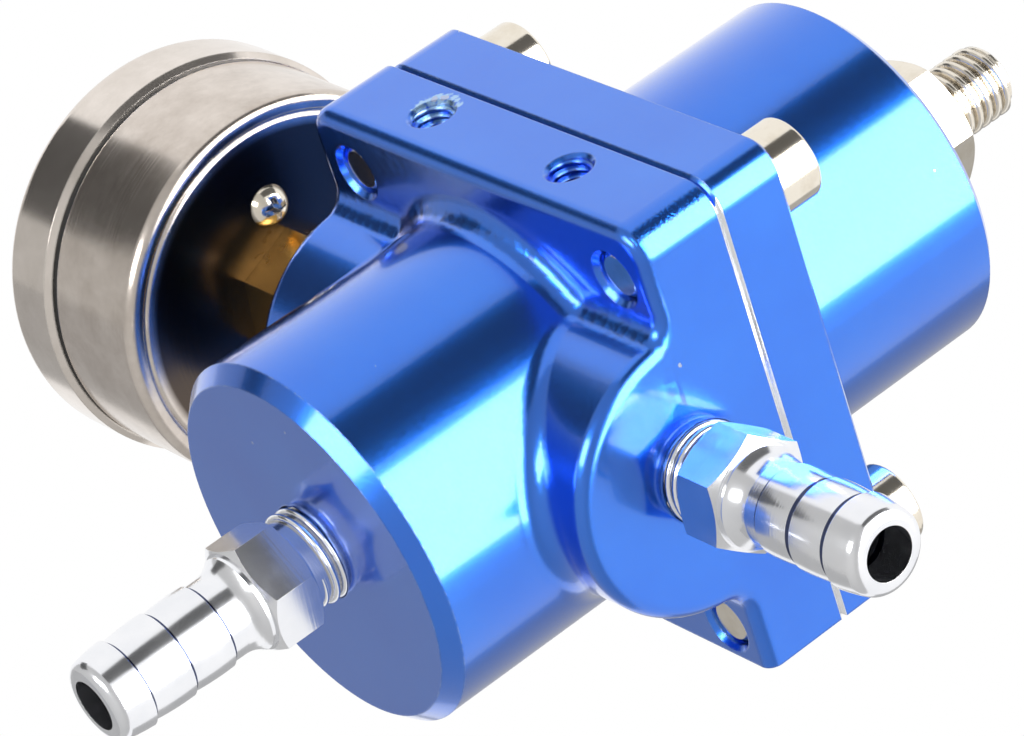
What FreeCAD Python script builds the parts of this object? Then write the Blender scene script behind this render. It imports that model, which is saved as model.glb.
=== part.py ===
"""Fuel pressure regulator with a dial gauge on its body.

The row's origin is the middle of the two tapped bracket holes, on the face that
meets the bracket. +X points to the inlet hose tail, -X to the gauge, -Y out of
the bracket face, and +Z along the main axis to the adjusting screw.

Pieces on the main axis are drawn about that axis, with height 0 at the joint
between the two castings. Gauge pieces are drawn about the gauge's own axis, with
height 0 on the boss face and the dial facing up. Lengths are millimetres.
"""
import FreeCAD, Part
import math
import os

import Sketcher
from FreeCAD import Placement, Rotation, Vector

# Driving sizes

SIZES = [
    # lower casting
    ("flange_width", 50.0, "lower flange, along X"),
    ("flange_front", 25.2, "main axis to the bracket face"),
    ("flange_back", 23.2, "main axis to the back face"),
    ("lower_flange", 9.3, "thickness of the lower flange"),
    ("corner_radius", 3.2, "rounded upright corners beside the bracket face"),
    ("flange_edge", 1.4, "rounding of the lower flange's underside edges"),
    ("joint_chamfer", 0.35, "chamfers that leave a groove along the joint"),
    ("barrel_radius", 19.3, "barrel under the flange"),
    ("barrel_length", 36.9, "joint to the barrel's end face"),
    ("barrel_chamfer", 1.5, "chamfer of the barrel's end"),
    ("boss_radius", 14.2, "cross boss that holds the side ports"),
    ("boss_drop", 9.5, "joint to the axis of the side ports"),
    ("casting_fillet", 2.4, "fillets between flange, barrel and boss"),
    # bracket holes
    ("bracket_spacing", 20.7, "between the two bracket holes, along X"),
    ("bracket_offset", 0.65, "main axis to the middle of the bracket holes, along X"),
    ("bracket_drop", 4.16, "joint to the bracket holes"),
    ("bracket_hole", 4.2, "tapping drill of an M5 hole"),
    ("bracket_depth", 10.0, "depth of a bracket hole"),
    # ports and fuel way
    ("port_thread", 10.0, "outer diameter of the port threads"),
    ("port_core", 8.8, "relief of a port thread, at its core diameter"),
    ("port_depth", 9.0, "threaded depth of a port"),
    ("passage", 5.0, "drilled fuel way"),
    ("fuel_chamber", 24.0, "outer diameter of the ring chamber"),
    ("fuel_depth", 15.0, "joint to the floor of the ring chamber"),
    ("post_diameter", 12.6, "post that carries the valve seat"),
    ("post_drop", 4.4, "joint to the top of the post"),
    ("seat_body", 8.0, "diameter of the pressed valve seat"),
    ("seat_depth", 5.0, "length of the seat inside the post"),
    ("seat_flange", 0.5, "thickness of the seat's collar"),
    ("seat_nose", 0.5, "height of the seat's nose above its collar"),
    ("seat_bore", 4.0, "bore of the valve seat"),
    # diaphragm and valve
    ("diaphragm_diameter", 45.0, "rubber diaphragm"),
    ("diaphragm_thickness", 1.0, "rubber diaphragm"),
    ("clamp_inner", 30.0, "inner diameter of the ring where the castings clamp it"),
    ("fold_height", 1.6, "rise of the diaphragm's rolled fold"),
    ("plate_diameter", 21.0, "metal plates on both sides of the diaphragm"),
    ("plate_thickness", 1.0, "lower plate and floor of the spring cup"),
    ("cup_rim", 1.6, "rim of the spring cup above its floor"),
    ("stud_diameter", 6.0, "stud through diaphragm and plates"),
    ("stud_head", 9.2, "head of the stud that holds the valve disc"),
    ("stud_head_height", 1.3, "head of the stud"),
    ("disc_diameter", 7.0, "rubber disc in the stud's head"),
    ("disc_thickness", 0.8, "rubber disc in the stud's head"),
    ("rivet_height", 1.0, "riveted end of the stud"),
    # bonnet
    ("bonnet_left", 24.1, "main axis to the bonnet flange's left face"),
    ("bonnet_flange", 7.4, "thickness of the bonnet flange"),
    ("bonnet_radius", 18.9, "spring housing"),
    ("bonnet_height", 32.2, "joint to the top of the spring housing"),
    ("bonnet_chamfer", 0.7, "rim of the spring housing"),
    ("spring_chamber", 27.0, "bore of the spring housing"),
    ("bonnet_top_wall", 6.2, "top wall of the spring housing"),
    ("fold_relief", 2.6, "depth of the wide mouth over the diaphragm"),
    ("nut_boss", 17.0, "diameter of the raised seat of the lock nut"),
    ("nut_boss_height", 3.0, "height of that seat"),
    # cover screws
    ("screw_edge", 5.5, "flange's sides to the cover screws"),
    ("screw_shift_x", 0.28, "screw pattern off the main axis, along X"),
    ("screw_shift_y", 0.2, "screw pattern off the main axis, along Y"),
    ("screw_diameter", 5.0, "M5 cover screws"),
    ("screw_head", 8.5, "head diameter"),
    ("screw_head_height", 5.0, "head height"),
    ("screw_socket", 4.0, "hexagon socket across its flats"),
    ("screw_recess", 0.6, "screw end inside the lower flange"),
    # spring and adjuster
    ("wire_diameter", 2.2, "main spring wire"),
    ("spring_mean", 16.8, "mean diameter of the main spring"),
    ("spring_turns", 5.0, "turns of the main spring"),
    ("spring_length", 18.8, "length of the main spring as set"),
    ("seat_play", 1.2, "upper spring seat to the bore round it"),
    ("seat_plate_height", 2.0, "upper spring seat"),
    ("seat_hub", 11.0, "hub of the upper spring seat"),
    ("seat_hub_height", 2.2, "hub of the upper spring seat"),
    ("adjuster_diameter", 7.9, "M8 adjusting screw"),
    ("adjuster_top", 50.5, "joint to the end of the adjusting screw"),
    ("adjuster_socket", 4.0, "hexagon socket of the adjusting screw"),
    ("adjuster_socket_depth", 4.5, "depth of that socket"),
    ("nut_flats", 13.0, "lock nut across its flats"),
    ("nut_height", 6.8, "lock nut"),
    # hose tails
    ("tail_flats", 10.5, "hose tail hexagon across its flats"),
    ("tail_hex", 5.2, "hose tail hexagon along its axis"),
    ("tail_length", 22.45, "back of the hexagon to the tip"),
    ("tail_bore", 5.2, "bore of a hose tail"),
    ("barb_diameter", 9.1, "first barb of a hose tail"),
    ("barb_pitch", 4.65, "between two barbs"),
    ("barb_lead", 3.6, "tip to the edge of the first barb"),
    ("barb_step", 0.75, "step behind each barb, on the diameter"),
    ("tail_neck", 9.8, "collar between hexagon and barbs"),
    ("inlet_gap", 2.4, "thread that shows at the inlet tail"),
    ("return_gap", 3.1, "thread that shows at the return tail"),
    ("thread_grip", 7.0, "thread of a hose tail inside its port"),
    # vacuum nipple
    ("nipple_height", 18.0, "joint to the axis of the vacuum nipple"),
    ("nipple_thread", 5.0, "thread of the vacuum nipple"),
    ("nipple_flats", 7.0, "hexagon of the vacuum nipple"),
    ("nipple_hex", 2.5, "hexagon of the vacuum nipple along its axis"),
    ("nipple_barb", 4.6, "barb of the vacuum nipple"),
    ("nipple_tube", 7.0, "tube of the vacuum nipple beyond its hexagon"),
    ("nipple_bore", 2.0, "bore of the vacuum nipple"),
    # gauge case
    ("gauge_case", 40.2, "diameter of the gauge case"),
    ("case_back", 13.2, "boss face to the back of the case"),
    ("case_depth", 13.0, "back of the case to its front step"),
    ("case_wall", 0.8, "sheet of the gauge case"),
    ("case_round", 3.0, "rounding of the case's back edge"),
    ("spigot_diameter", 38.8, "front of the case inside the bezel"),
    ("spigot_length", 5.6, "front of the case inside the bezel"),
    ("gasket_width", 0.7, "black gasket between case and bezel"),
    ("bezel_diameter", 41.6, "polished bezel"),
    ("bezel_length", 7.3, "bezel along the gauge axis"),
    ("bezel_opening", 35.6, "window in the bezel"),
    ("bezel_bevel", 0.6, "polished bevels of the bezel"),
    ("lens_thickness", 1.6, "gauge window"),
    ("back_screw_circle", 20.0, "circle of the two screws in the case's back"),
    ("back_screw", 3.0, "thread of a back screw"),
    ("back_screw_head", 4.4, "head of a back screw"),
    ("back_screw_height", 1.5, "head of a back screw"),
    # gauge stem and tube
    ("stem_flats", 12.0, "stem hexagon across its flats"),
    ("stem_hex", 7.5, "stem hexagon along its axis"),
    ("stem_grip", 8.0, "stem thread inside the boss"),
    ("stem_neck", 10.0, "neck of the stem through the case"),
    ("stem_bore", 3.0, "bore of the stem"),
    ("block_width", 9.0, "socket block in the case"),
    ("block_height", 6.0, "socket block along the gauge axis"),
    ("foot_height", 1.6, "foot of the socket block that the back screws hold"),
    ("tube_radius", 14.0, "bend of the pressure tube"),
    ("tube_depth", 5.6, "pressure tube along the gauge axis"),
    ("tube_flat", 2.2, "flattened thickness of the pressure tube"),
    ("tube_wall", 0.35, "wall of the pressure tube"),
    ("tube_start", 251.3, "angle of the soldered end, degrees"),
    ("tube_span", 276.0, "bend of the pressure tube, degrees"),
    ("tip_length", 3.4, "cap on the free end of the pressure tube"),
    # gauge movement
    ("plate_sheet", 1.0, "movement plates"),
    ("plate_gap", 4.0, "between the movement plates"),
    ("plate_back", 7.0, "arbor to the back edge of the movement plates"),
    ("plate_shoulder", 6.0, "arbor to the slanted shoulders of the plates"),
    ("plate_width", 13.6, "movement plates across"),
    ("plate_nose", 4.8, "movement plates across, beside the sector pivot"),
    ("pillar_diameter", 2.4, "pillars between the plates"),
    ("pillar_back", 4.0, "arbor to the pillars, along the plates"),
    ("pillar_spacing", 10.0, "between the pillars"),
    ("pivot_distance", 9.0, "pointer arbor to sector pivot"),
    ("gear_ratio", 8.0, "teeth of a full sector wheel for each pinion tooth"),
    ("pinion_teeth", 10.0, "teeth of the pinion"),
    ("sector_teeth", 12.0, "teeth left on the sector"),
    ("sector_tail", 3.0, "sector pivot to link pin"),
    ("sector_sheet", 1.0, "sector gear"),
    ("arbor_diameter", 1.2, "pointer arbor"),
    ("pivot_pin", 1.2, "pin that the sector turns on"),
    ("link_pin", 1.0, "pins at the ends of the link"),
    ("link_sheet", 0.6, "link"),
    ("pointer_sweep", 270.0, "full turn of the pointer, degrees"),
    ("hair_rise", 0.55, "spacing of the hairspring's turns"),
    ("hair_turns", 4.0, "turns of the hairspring"),
    ("hair_band", 0.7, "width of the hairspring"),
    ("dial_diameter", 36.4, "dial"),
    ("dial_sheet", 0.5, "dial"),
    ("dial_screw", 1.6, "thread of a dial screw"),
    ("dial_screw_head", 2.6, "head of a dial screw"),
    ("dial_screw_height", 0.7, "head of a dial screw"),
    ("dial_screw_circle", 11.2, "circle of the two dial screws"),
    ("pointer_length", 14.5, "arbor to the pointer's tip"),
    ("pointer_tail", 5.0, "arbor to the pointer's other end"),
    ("pointer_width", 1.8, "pointer at its arbor"),
    ("pointer_tip", 0.4, "pointer at its tip"),
    ("pointer_sheet", 0.4, "pointer"),
    ("pointer_rise", 1.4, "dial to the pointer"),
    ("pointer_hub", 3.4, "hub of the pointer"),
    # clearances
    ("thread_fit", 0.05, "play of a thread, on the radius"),
    ("loose_fit", 0.3, "play of pieces that lie in a recess, on the radius"),
    ("pin_fit", 0.06, "play of a pin in its hole, on the radius"),
]

SHEET = "sizes"

# How far pieces are screwed round, in degrees

NUT_TURN = -6
STEM_TURN = 8
INLET_TURN = 50.8
RETURN_TURN = -41.5
POINTER_REST = 225
DIAL_SCREW_TURNS = (180, -50)


class Size:
    """A length known both as a number and as the sheet formula behind it."""

    def __init__(self, number, formula):
        self.number = float(number)
        self.formula = formula

    def __add__(self, other):
        other = as_size(other)
        return Size(self.number + other.number, f"({self.formula} + {other.formula})")

    def __sub__(self, other):
        other = as_size(other)
        return Size(self.number - other.number, f"({self.formula} - {other.formula})")

    def __mul__(self, other):
        other = as_size(other)
        return Size(self.number * other.number, f"({self.formula} * {other.formula})")

    def __truediv__(self, other):
        other = as_size(other)
        return Size(self.number / other.number, f"({self.formula} / {other.formula})")

    def __radd__(self, other):
        return as_size(other) + self

    def __rsub__(self, other):
        return as_size(other) - self

    def __rmul__(self, other):
        return as_size(other) * self

    def __neg__(self):
        return Size(-self.number, f"(-{self.formula})")


def as_size(value):
    return value if isinstance(value, Size) else Size(value, f"{float(value):.6f}")


def sine(angle):
    angle = as_size(angle)
    return Size(math.sin(math.radians(angle.number)), f"sin({angle.formula} * 1 deg)")


def cosine(angle):
    angle = as_size(angle)
    return Size(math.cos(math.radians(angle.number)), f"cos({angle.formula} * 1 deg)")


def bind(thing, path, size):
    """Tie one property of an object to the sheet."""
    thing.setExpression(path, as_size(size).formula)


doc = FreeCAD.newDocument("FuelPressureRegulator")
sheet = doc.addObject("Spreadsheet::Sheet", SHEET)
S = {}
for row, (alias, value, meaning) in enumerate(SIZES, start=1):
    sheet.set(f"A{row}", meaning)
    sheet.set(f"B{row}", str(value))
    sheet.setAlias(f"B{row}", alias)
    S[alias] = Size(value, f"{SHEET}.{alias}")
doc.recompute()

# Places worked out from the sizes

MAIN_AXIS = (S["bracket_offset"], S["flange_front"], S["bracket_drop"])
SCREW_AXIS = (
    MAIN_AXIS[0] + S["screw_shift_x"],
    MAIN_AXIS[1] + S["screw_shift_y"],
    MAIN_AXIS[2],
)
RIGHT_PORT = (
    MAIN_AXIS[0] + S["flange_width"] / 2,
    MAIN_AXIS[1],
    MAIN_AXIS[2] - S["boss_drop"],
)
LEFT_PORT = (
    MAIN_AXIS[0] - S["flange_width"] / 2,
    MAIN_AXIS[1],
    MAIN_AXIS[2] - S["boss_drop"],
)
INLET_HEXAGON = (RIGHT_PORT[0] + S["inlet_gap"], RIGHT_PORT[1], RIGHT_PORT[2])
RETURN_HEXAGON = (
    MAIN_AXIS[0],
    MAIN_AXIS[1],
    MAIN_AXIS[2] - S["barrel_length"] - S["return_gap"],
)
UPRIGHT = Rotation()
FACING_RIGHT = Rotation(Vector(0, 1, 0), Vector(0, 0, 1), Vector(1, 0, 0), "XYZ")
FACING_LEFT = Rotation(Vector(0, -1, 0), Vector(0, 0, 1), Vector(-1, 0, 0), "XYZ")
FACING_DOWN = Rotation(Vector(1, 0, 0), Vector(0, -1, 0), Vector(0, 0, -1), "XYZ")

pieces = []


# Helpers


def new_body(label, place=MAIN_AXIS, facing=UPRIGHT, turn=0):
    """An empty body at a place on the object, turned about its own axis."""
    body = doc.addObject("PartDesign::Body", label)
    body.Label = label
    body.Placement = Placement(Vector(), facing * Rotation(Vector(0, 0, 1), turn))
    for letter, size in zip("xyz", place):
        bind(body, f"Placement.Base.{letter}", size)
    return body


def keep(thing):
    pieces.append(thing)
    return thing


def origin_plane(body, role):
    return [item for item in body.Origin.OriginFeatures if item.Role == role][0]


def round_edge(start, end, radius):
    """The short arc between two points; a positive radius turns left."""
    chord = end - start
    left = Vector(-chord.y, chord.x, 0).normalize()
    rise = math.sqrt(max(radius * radius - chord.Length ** 2 / 4, 0.0))
    centre = (start + end) / 2 + left * rise * math.copysign(1, radius)
    circle = Part.Circle(centre, Vector(0, 0, 1), abs(radius))
    first, last = (start, end) if radius > 0 else (end, start)
    first_angle = math.atan2(first.y - centre.y, first.x - centre.x)
    last_angle = math.atan2(last.y - centre.y, last.x - centre.x)
    return Part.ArcOfCircle(circle, first_angle, last_angle)


def add_outline(sketch, corners):
    """Draw one closed outline; a corner's third value is the radius of its arc."""
    corners = [tuple(as_size(value) for value in corner) for corner in corners]
    places = [Vector(corner[0].number, corner[1].number, 0) for corner in corners]
    first = sketch.GeometryCount
    count = len(corners)
    shapes, starts, ends, radii = [], [], [], []
    for index in range(count):
        after = (index + 1) % count
        arc = len(corners[after]) > 2
        radius = corners[after][2] if arc else None
        if arc:
            shapes.append(round_edge(places[index], places[after], radius.number))
        else:
            shapes.append(Part.LineSegment(places[index], places[after]))
        backwards = arc and radius.number < 0
        starts.append(2 if backwards else 1)
        ends.append(1 if backwards else 2)
        radii.append(radius)
    sketch.addGeometry(shapes, False)
    rules, names = [], []
    for index in range(count):
        edge = first + index
        after = first + (index + 1) % count
        x, y = corners[index][0], corners[index][1]
        rules.append(Sketcher.Constraint(
            "Coincident", edge, ends[index], after, starts[(index + 1) % count]))
        names.append(None)
        for kind, axis, size, letter in (
            ("DistanceX", -2, x, "x"),
            ("DistanceY", -1, y, "y"),
        ):
            if size.number == 0:
                rules.append(Sketcher.Constraint("PointOnObject", edge, starts[index], axis))
                names.append(None)
            else:
                rules.append(Sketcher.Constraint(
                    kind, -1, 1, edge, starts[index], size.number))
                names.append((f"{letter}{edge}", size))
        if radii[index] is not None:
            size = radii[index] if radii[index].number > 0 else -radii[index]
            rules.append(Sketcher.Constraint("Radius", edge, size.number))
            names.append((f"r{edge}", size))
    numbers = sketch.addConstraint(rules)
    for number, name in zip(numbers, names):
        if name:
            sketch.renameConstraint(number, name[0])
            bind(sketch, "Constraints." + name[0], name[1])


def add_circle(sketch, x, y, diameter):
    x, y, diameter = as_size(x), as_size(y), as_size(diameter)
    edge = sketch.GeometryCount
    centre = Vector(x.number, y.number, 0)
    sketch.addGeometry(Part.Circle(centre, Vector(0, 0, 1), diameter.number / 2), False)
    for kind, axis, size, letter in (
        ("DistanceX", -2, x, "x"),
        ("DistanceY", -1, y, "y"),
    ):
        if size.number == 0:
            sketch.addConstraint(Sketcher.Constraint("PointOnObject", edge, 3, axis))
            continue
        number = sketch.addConstraint(
            Sketcher.Constraint(kind, -1, 1, edge, 3, size.number))
        sketch.renameConstraint(number, f"{letter}{edge}")
        bind(sketch, f"Constraints.{letter}{edge}", size)
    number = sketch.addConstraint(Sketcher.Constraint("Diameter", edge, diameter.number))
    sketch.renameConstraint(number, f"d{edge}")
    bind(sketch, f"Constraints.d{edge}", diameter)


def new_sketch(body, name, plane, shift=(0, 0, 0)):
    """A sketch on one of the body's own planes, shifted along its x, y and normal."""
    sketch = body.newObject("Sketcher::SketchObject", name)
    sketch.AttachmentSupport = (origin_plane(body, plane + "_Plane"), [""])
    sketch.MapMode = "FlatFace"
    for letter, size in zip("xyz", shift):
        if as_size(size).number:
            bind(sketch, f"AttachmentOffset.Base.{letter}", size)
    return sketch


def section(body, name, *outlines, plane="XZ", shift=(0, 0, 0)):
    sketch = new_sketch(body, name, plane, shift)
    for outline in outlines:
        add_outline(sketch, outline)
    return sketch


def circles(body, name, *rings, plane="XY", shift=(0, 0, 0)):
    sketch = new_sketch(body, name, plane, shift)
    for ring in rings:
        add_circle(sketch, *ring)
    return sketch


def turned(body, name, sketch, axis="V_Axis", cut=False, angle=360):
    """Revolve a section about one of its sketch's axes."""
    kind = "PartDesign::Groove" if cut else "PartDesign::Revolution"
    feature = body.newObject(kind, name)
    feature.Profile = sketch
    feature.ReferenceAxis = (sketch, [axis])
    bind(feature, "Angle", angle)
    return feature


def raised(body, name, sketch, length, cut=False, reverse=False):
    """Pad or pocket a sketch along its normal, or against it."""
    kind = "PartDesign::Pocket" if cut else "PartDesign::Pad"
    feature = body.newObject(kind, name)
    feature.Profile = sketch
    feature.Reversed = reverse
    bind(feature, "Length", length)
    return feature


def softened(body, name, base, chosen, size, chamfer=False):
    """Round or chamfer the edges that a test picks."""
    doc.recompute()
    names = [
        f"Edge{number}"
        for number, edge in enumerate(base.Shape.Edges, start=1)
        if chosen(edge)
    ]
    kind = "PartDesign::Chamfer" if chamfer else "PartDesign::Fillet"
    feature = body.newObject(kind, name)
    feature.Base = (base, names)
    bind(feature, "Size" if chamfer else "Radius", size)
    return feature


def around(body, name, features, sketch, count):
    """Repeat features evenly round the axis of a sketch."""
    pattern = body.newObject("PartDesign::PolarPattern", name)
    pattern.Originals = features
    pattern.Axis = (sketch, ["N_Axis"])
    pattern.Angle = 360
    bind(pattern, "Occurrences", count)
    body.Tip = pattern
    return pattern


def hexagon(flats, turn=0):
    """Corners of a hexagon given across its flats, one corner at the turn."""
    reach = flats / math.sqrt(3)
    return [(reach * cosine(turn + 60 * k), reach * sine(turn + 60 * k)) for k in range(6)]


def ring_section(inner, outer, bottom, top):
    return [(inner, bottom), (outer, bottom), (outer, top), (inner, top)]


def chamfer_corners(body, name, flats, level, up):
    """Turn the corners of a hexagon down to thirty degrees, at one of its faces."""
    inner = flats / 2 - 0.1
    outer = flats / math.sqrt(3) + 0.5
    drop = (outer - inner) * math.tan(math.radians(30))
    level = as_size(level)
    beyond = level + 0.3 if up else level - 0.3
    edge = level - drop if up else level + drop
    profile = section(
        body, name + "_section",
        [(inner, level), (outer, edge), (outer, beyond), (inner, beyond)])
    return turned(body, name, profile, cut=True)


# Castings


def flange_outline(left, right, front, back, corner):
    """A flange seen from above, its two front corners rounded."""
    return [
        (-left + corner, -front, corner),
        (right - corner, -front),
        (right, -front + corner, corner),
        (right, back),
        (-left, back),
        (-left, -front + corner),
    ]


def near(value, target, slack=0.02):
    return abs(value - target) < slack


def make_lower_body():
    body = new_body("lower_body")
    half = S["flange_width"] / 2
    front, back = S["flange_front"], S["flange_back"]
    thick, fillet = S["lower_flange"], S["casting_fillet"]
    radius, end = S["barrel_radius"], -S["barrel_length"]
    chamfer = S["barrel_chamfer"]
    flange = section(
        body, "flange_outline",
        flange_outline(half, half, front, back, S["corner_radius"]), plane="XY")
    raised(body, "flange", flange, thick, reverse=True)
    barrel = section(body, "barrel_section", [
        (0, -thick / 2), (radius, -thick / 2), (radius, end + chamfer),
        (radius - chamfer, end), (0, end)])
    turned(body, "barrel", barrel)
    reach, level = S["boss_radius"], -S["boss_drop"]
    boss = section(
        body, "boss_section",
        [(-reach, -thick / 2), (-reach, level), (0, level - reach, reach),
         (reach, level, reach), (reach, -thick / 2)],
        plane="YZ", shift=(0, 0, -half))
    boss_pad = raised(body, "cross_boss", boss, S["flange_width"])

    def inner_corner(edge):
        """Edges where barrel, boss and the flange's underside meet."""
        middle = edge.valueAt((edge.FirstParameter + edge.LastParameter) / 2)
        box = edge.BoundBox
        along_boss = near(abs(middle.y), reach.number, 0.3) and box.XLength > 2
        under = near(box.ZMin, -thick.number) and near(box.ZMax, -thick.number)
        on_barrel = near(math.hypot(middle.x, middle.y), radius.number)
        inside = abs(middle.x) < half.number - 0.5 and middle.z < -thick.number + 0.01
        deep = middle.z > -S["barrel_length"].number + chamfer.number + 0.5
        return inside and deep and (on_barrel or (under and along_boss))

    filleted = softened(body, "casting_fillets", boss_pad, inner_corner, fillet)

    def outer_edge(edge):
        """The underside's outer edges, apart from the back one."""
        box = edge.BoundBox
        low = box.ZMax < -thick.number + 0.02
        side = box.XLength < 0.02 and near(abs(box.XMin), half.number)
        front_edge = near(box.YMin, -front.number) and box.YLength < S["corner_radius"].number + 0.1
        return low and (side or (front_edge and near(box.ZMin, -thick.number)))

    edged = softened(body, "underside_edges", filleted, outer_edge, S["flange_edge"])

    def joint_edge(edge):
        return near(edge.BoundBox.ZMin, 0) and near(edge.BoundBox.ZMax, 0)

    softened(body, "joint_edge", edged, joint_edge, S["joint_chamfer"], chamfer=True)

    recess = S["diaphragm_diameter"] / 2 + S["loose_fit"]
    sheet_drop = -S["diaphragm_thickness"]
    inner = S["clamp_inner"] / 2
    mouth = sheet_drop - S["plate_thickness"] - 1.2
    ring, post = S["fuel_chamber"] / 2, S["post_diameter"] / 2
    floor, post_top = -S["fuel_depth"], -S["post_drop"]
    seat = S["seat_body"] / 2
    seat_floor = post_top - S["seat_depth"]
    passage = S["passage"] / 2
    port, port_floor = S["port_thread"] / 2, end + S["port_depth"]
    drill = port - S["thread_fit"] - passage
    chamber = section(body, "chamber_section", [
        (0, 1), (recess, 1), (recess, sheet_drop), (inner, sheet_drop),
        (inner, mouth), (ring, mouth), (ring, floor), (post, floor),
        (post, post_top), (seat, post_top), (seat, seat_floor),
        (passage, seat_floor), (passage, port_floor + drill),
        (port, port_floor), (port, end - 1), (0, end - 1)])
    turned(body, "fuel_chamber", chamber, cut=True)
    for side, name in ((1, "inlet"), (-1, "gauge")):
        face = half * side
        deep = face - S["port_depth"] * side
        outline = [
            (post * side + side * 1.0, 0), (post * side + side * 1.0, passage),
            (deep - drill * side, passage), (deep, port), (face + side, port),
            (face + side, 0)]
        profile = section(body, name + "_port_section", outline,
                          shift=(0, -S["boss_drop"], 0))
        turned(body, name + "_port", profile, axis="H_Axis", cut=True)

    for side, name in ((-1, "left"), (1, "right")):
        outline = [
            (0, 1), (S["bracket_hole"] / 2 + 0.35, 1),
            (S["bracket_hole"] / 2 + 0.35, 0), (S["bracket_hole"] / 2, -0.35),
            (S["bracket_hole"] / 2, -S["bracket_depth"]),
            (0, -S["bracket_depth"] - S["bracket_hole"] / 2 * 0.6)]
        centre = S["bracket_spacing"] / 2 * side - S["bracket_offset"]
        turned_outline = [(x, -front - y) for x, y in outline]
        profile = section(body, name + "_bracket_section", turned_outline,
                          plane="XY", shift=(centre, 0, -S["bracket_drop"]))
        turned(body, name + "_bracket_hole", profile, axis="V_Axis", cut=True)

    hole = S["screw_diameter"] / 2 + S["thread_fit"]
    place = half - S["screw_edge"]
    mouth_depth = 0.45
    screw_hole = section(
        body, "screw_hole_section",
        [(0, 1), (hole, 1), (hole, -thick + mouth_depth),
         (hole + mouth_depth, -thick), (hole + mouth_depth, -thick - 1),
         (0, -thick - 1)],
        shift=(place + S["screw_shift_x"], 0, -place - S["screw_shift_y"]))
    first = turned(body, "screw_hole", screw_hole, cut=True)
    pattern_axis = circles(
        body, "screw_pattern_axis", (0, 0, 1),
        shift=(S["screw_shift_x"], S["screw_shift_y"], 0))
    around(body, "screw_holes", [first], pattern_axis, 4)
    return keep(body)


def make_bonnet():
    body = new_body("bonnet")
    right, left = S["flange_width"] / 2, S["bonnet_left"]
    front, back = S["flange_front"], S["flange_back"]
    thick, radius = S["bonnet_flange"], S["bonnet_radius"]
    top, chamfer = S["bonnet_height"], S["bonnet_chamfer"]
    flange = section(
        body, "flange_outline",
        flange_outline(left, right, front, back, S["corner_radius"]), plane="XY")
    pad = raised(body, "flange", flange, thick)

    def rim(edge):
        box = edge.BoundBox
        level = box.ZLength < 0.02
        low = near(box.ZMin, 0)
        front_top = near(box.ZMin, thick.number) and near(box.YMin, -front.number)
        return level and (low or front_top)

    softened(body, "flange_edges", pad, rim, S["joint_chamfer"], chamfer=True)
    boss, boss_top = S["nut_boss"] / 2, top + S["nut_boss_height"]
    housing = section(body, "housing_section", [
        (0, thick / 2), (radius, thick / 2), (radius, top - chamfer),
        (radius - chamfer, top), (boss, top), (boss, boss_top - 0.4),
        (boss - 0.4, boss_top), (0, boss_top)])
    turned(body, "spring_housing", housing)
    chamber, roof = S["spring_chamber"] / 2, top - S["bonnet_top_wall"]
    thread = S["adjuster_diameter"] / 2 + S["thread_fit"]
    mouth, relief = S["clamp_inner"] / 2, S["fold_relief"]
    bore = section(body, "chamber_section", [
        (0, -1), (mouth, -1), (mouth, relief), (chamber, relief + mouth - chamber),
        (chamber, roof), (thread, roof), (thread, boss_top + 1), (0, boss_top + 1)])
    turned(body, "spring_chamber", bore, cut=True)
    nipple = S["nipple_thread"] / 2
    spot = S["nipple_flats"] / 2 + 0.6
    face = radius - 0.5
    port = section(
        body, "nipple_port_section",
        [(-chamber + 2, 0), (-chamber + 2, nipple), (-face, nipple), (-face, spot),
         (-radius - 1, spot), (-radius - 1, 0)],
        shift=(0, S["nipple_height"], 0))
    turned(body, "nipple_port", port, axis="H_Axis", cut=True)
    hole = S["screw_diameter"] / 2 + S["loose_fit"]
    place = right - S["screw_edge"]
    screw_hole = section(
        body, "screw_hole_section",
        [(0, -1), (hole, -1), (hole, thick), (hole + 0.2, thick + 1), (0, thick + 1)],
        shift=(place + S["screw_shift_x"], 0, -place - S["screw_shift_y"]))
    first = turned(body, "screw_hole", screw_hole, cut=True)
    pattern_axis = circles(
        body, "screw_pattern_axis", (0, 0, 1),
        shift=(S["screw_shift_x"], S["screw_shift_y"], 0))
    around(body, "screw_holes", [first], pattern_axis, 4)
    return keep(body)


def make_bonnet_screws():
    """Four socket head screws, their ends just inside the lower flange."""
    body = new_body("bonnet_screws", SCREW_AXIS)
    place = S["flange_width"] / 2 - S["screw_edge"]
    shank, head = S["screw_diameter"] / 2, S["screw_head"] / 2
    seat = S["bonnet_flange"]
    top, end = seat + S["screw_head_height"], -S["lower_flange"] + S["screw_recess"]
    profile = section(
        body, "screw_section",
        [(0, end), (shank - 0.5, end), (shank, end + 0.5), (shank, seat), (head, seat),
         (head, top - 0.5), (head - 0.5, top, 0.5), (0, top)],
        shift=(place, 0, -place))
    screw = turned(body, "screw", profile)
    socket = section(
        body, "socket_outline", hexagon(S["screw_socket"], 15), plane="XY",
        shift=(place, place, top))
    pocket = raised(body, "socket", socket, S["screw_head_height"] / 2, cut=True)
    axis = circles(body, "pattern_axis", (0, 0, 1))
    around(body, "four_screws", [screw, pocket], axis, 4)
    return keep(body)


# Diaphragm and valve


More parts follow.
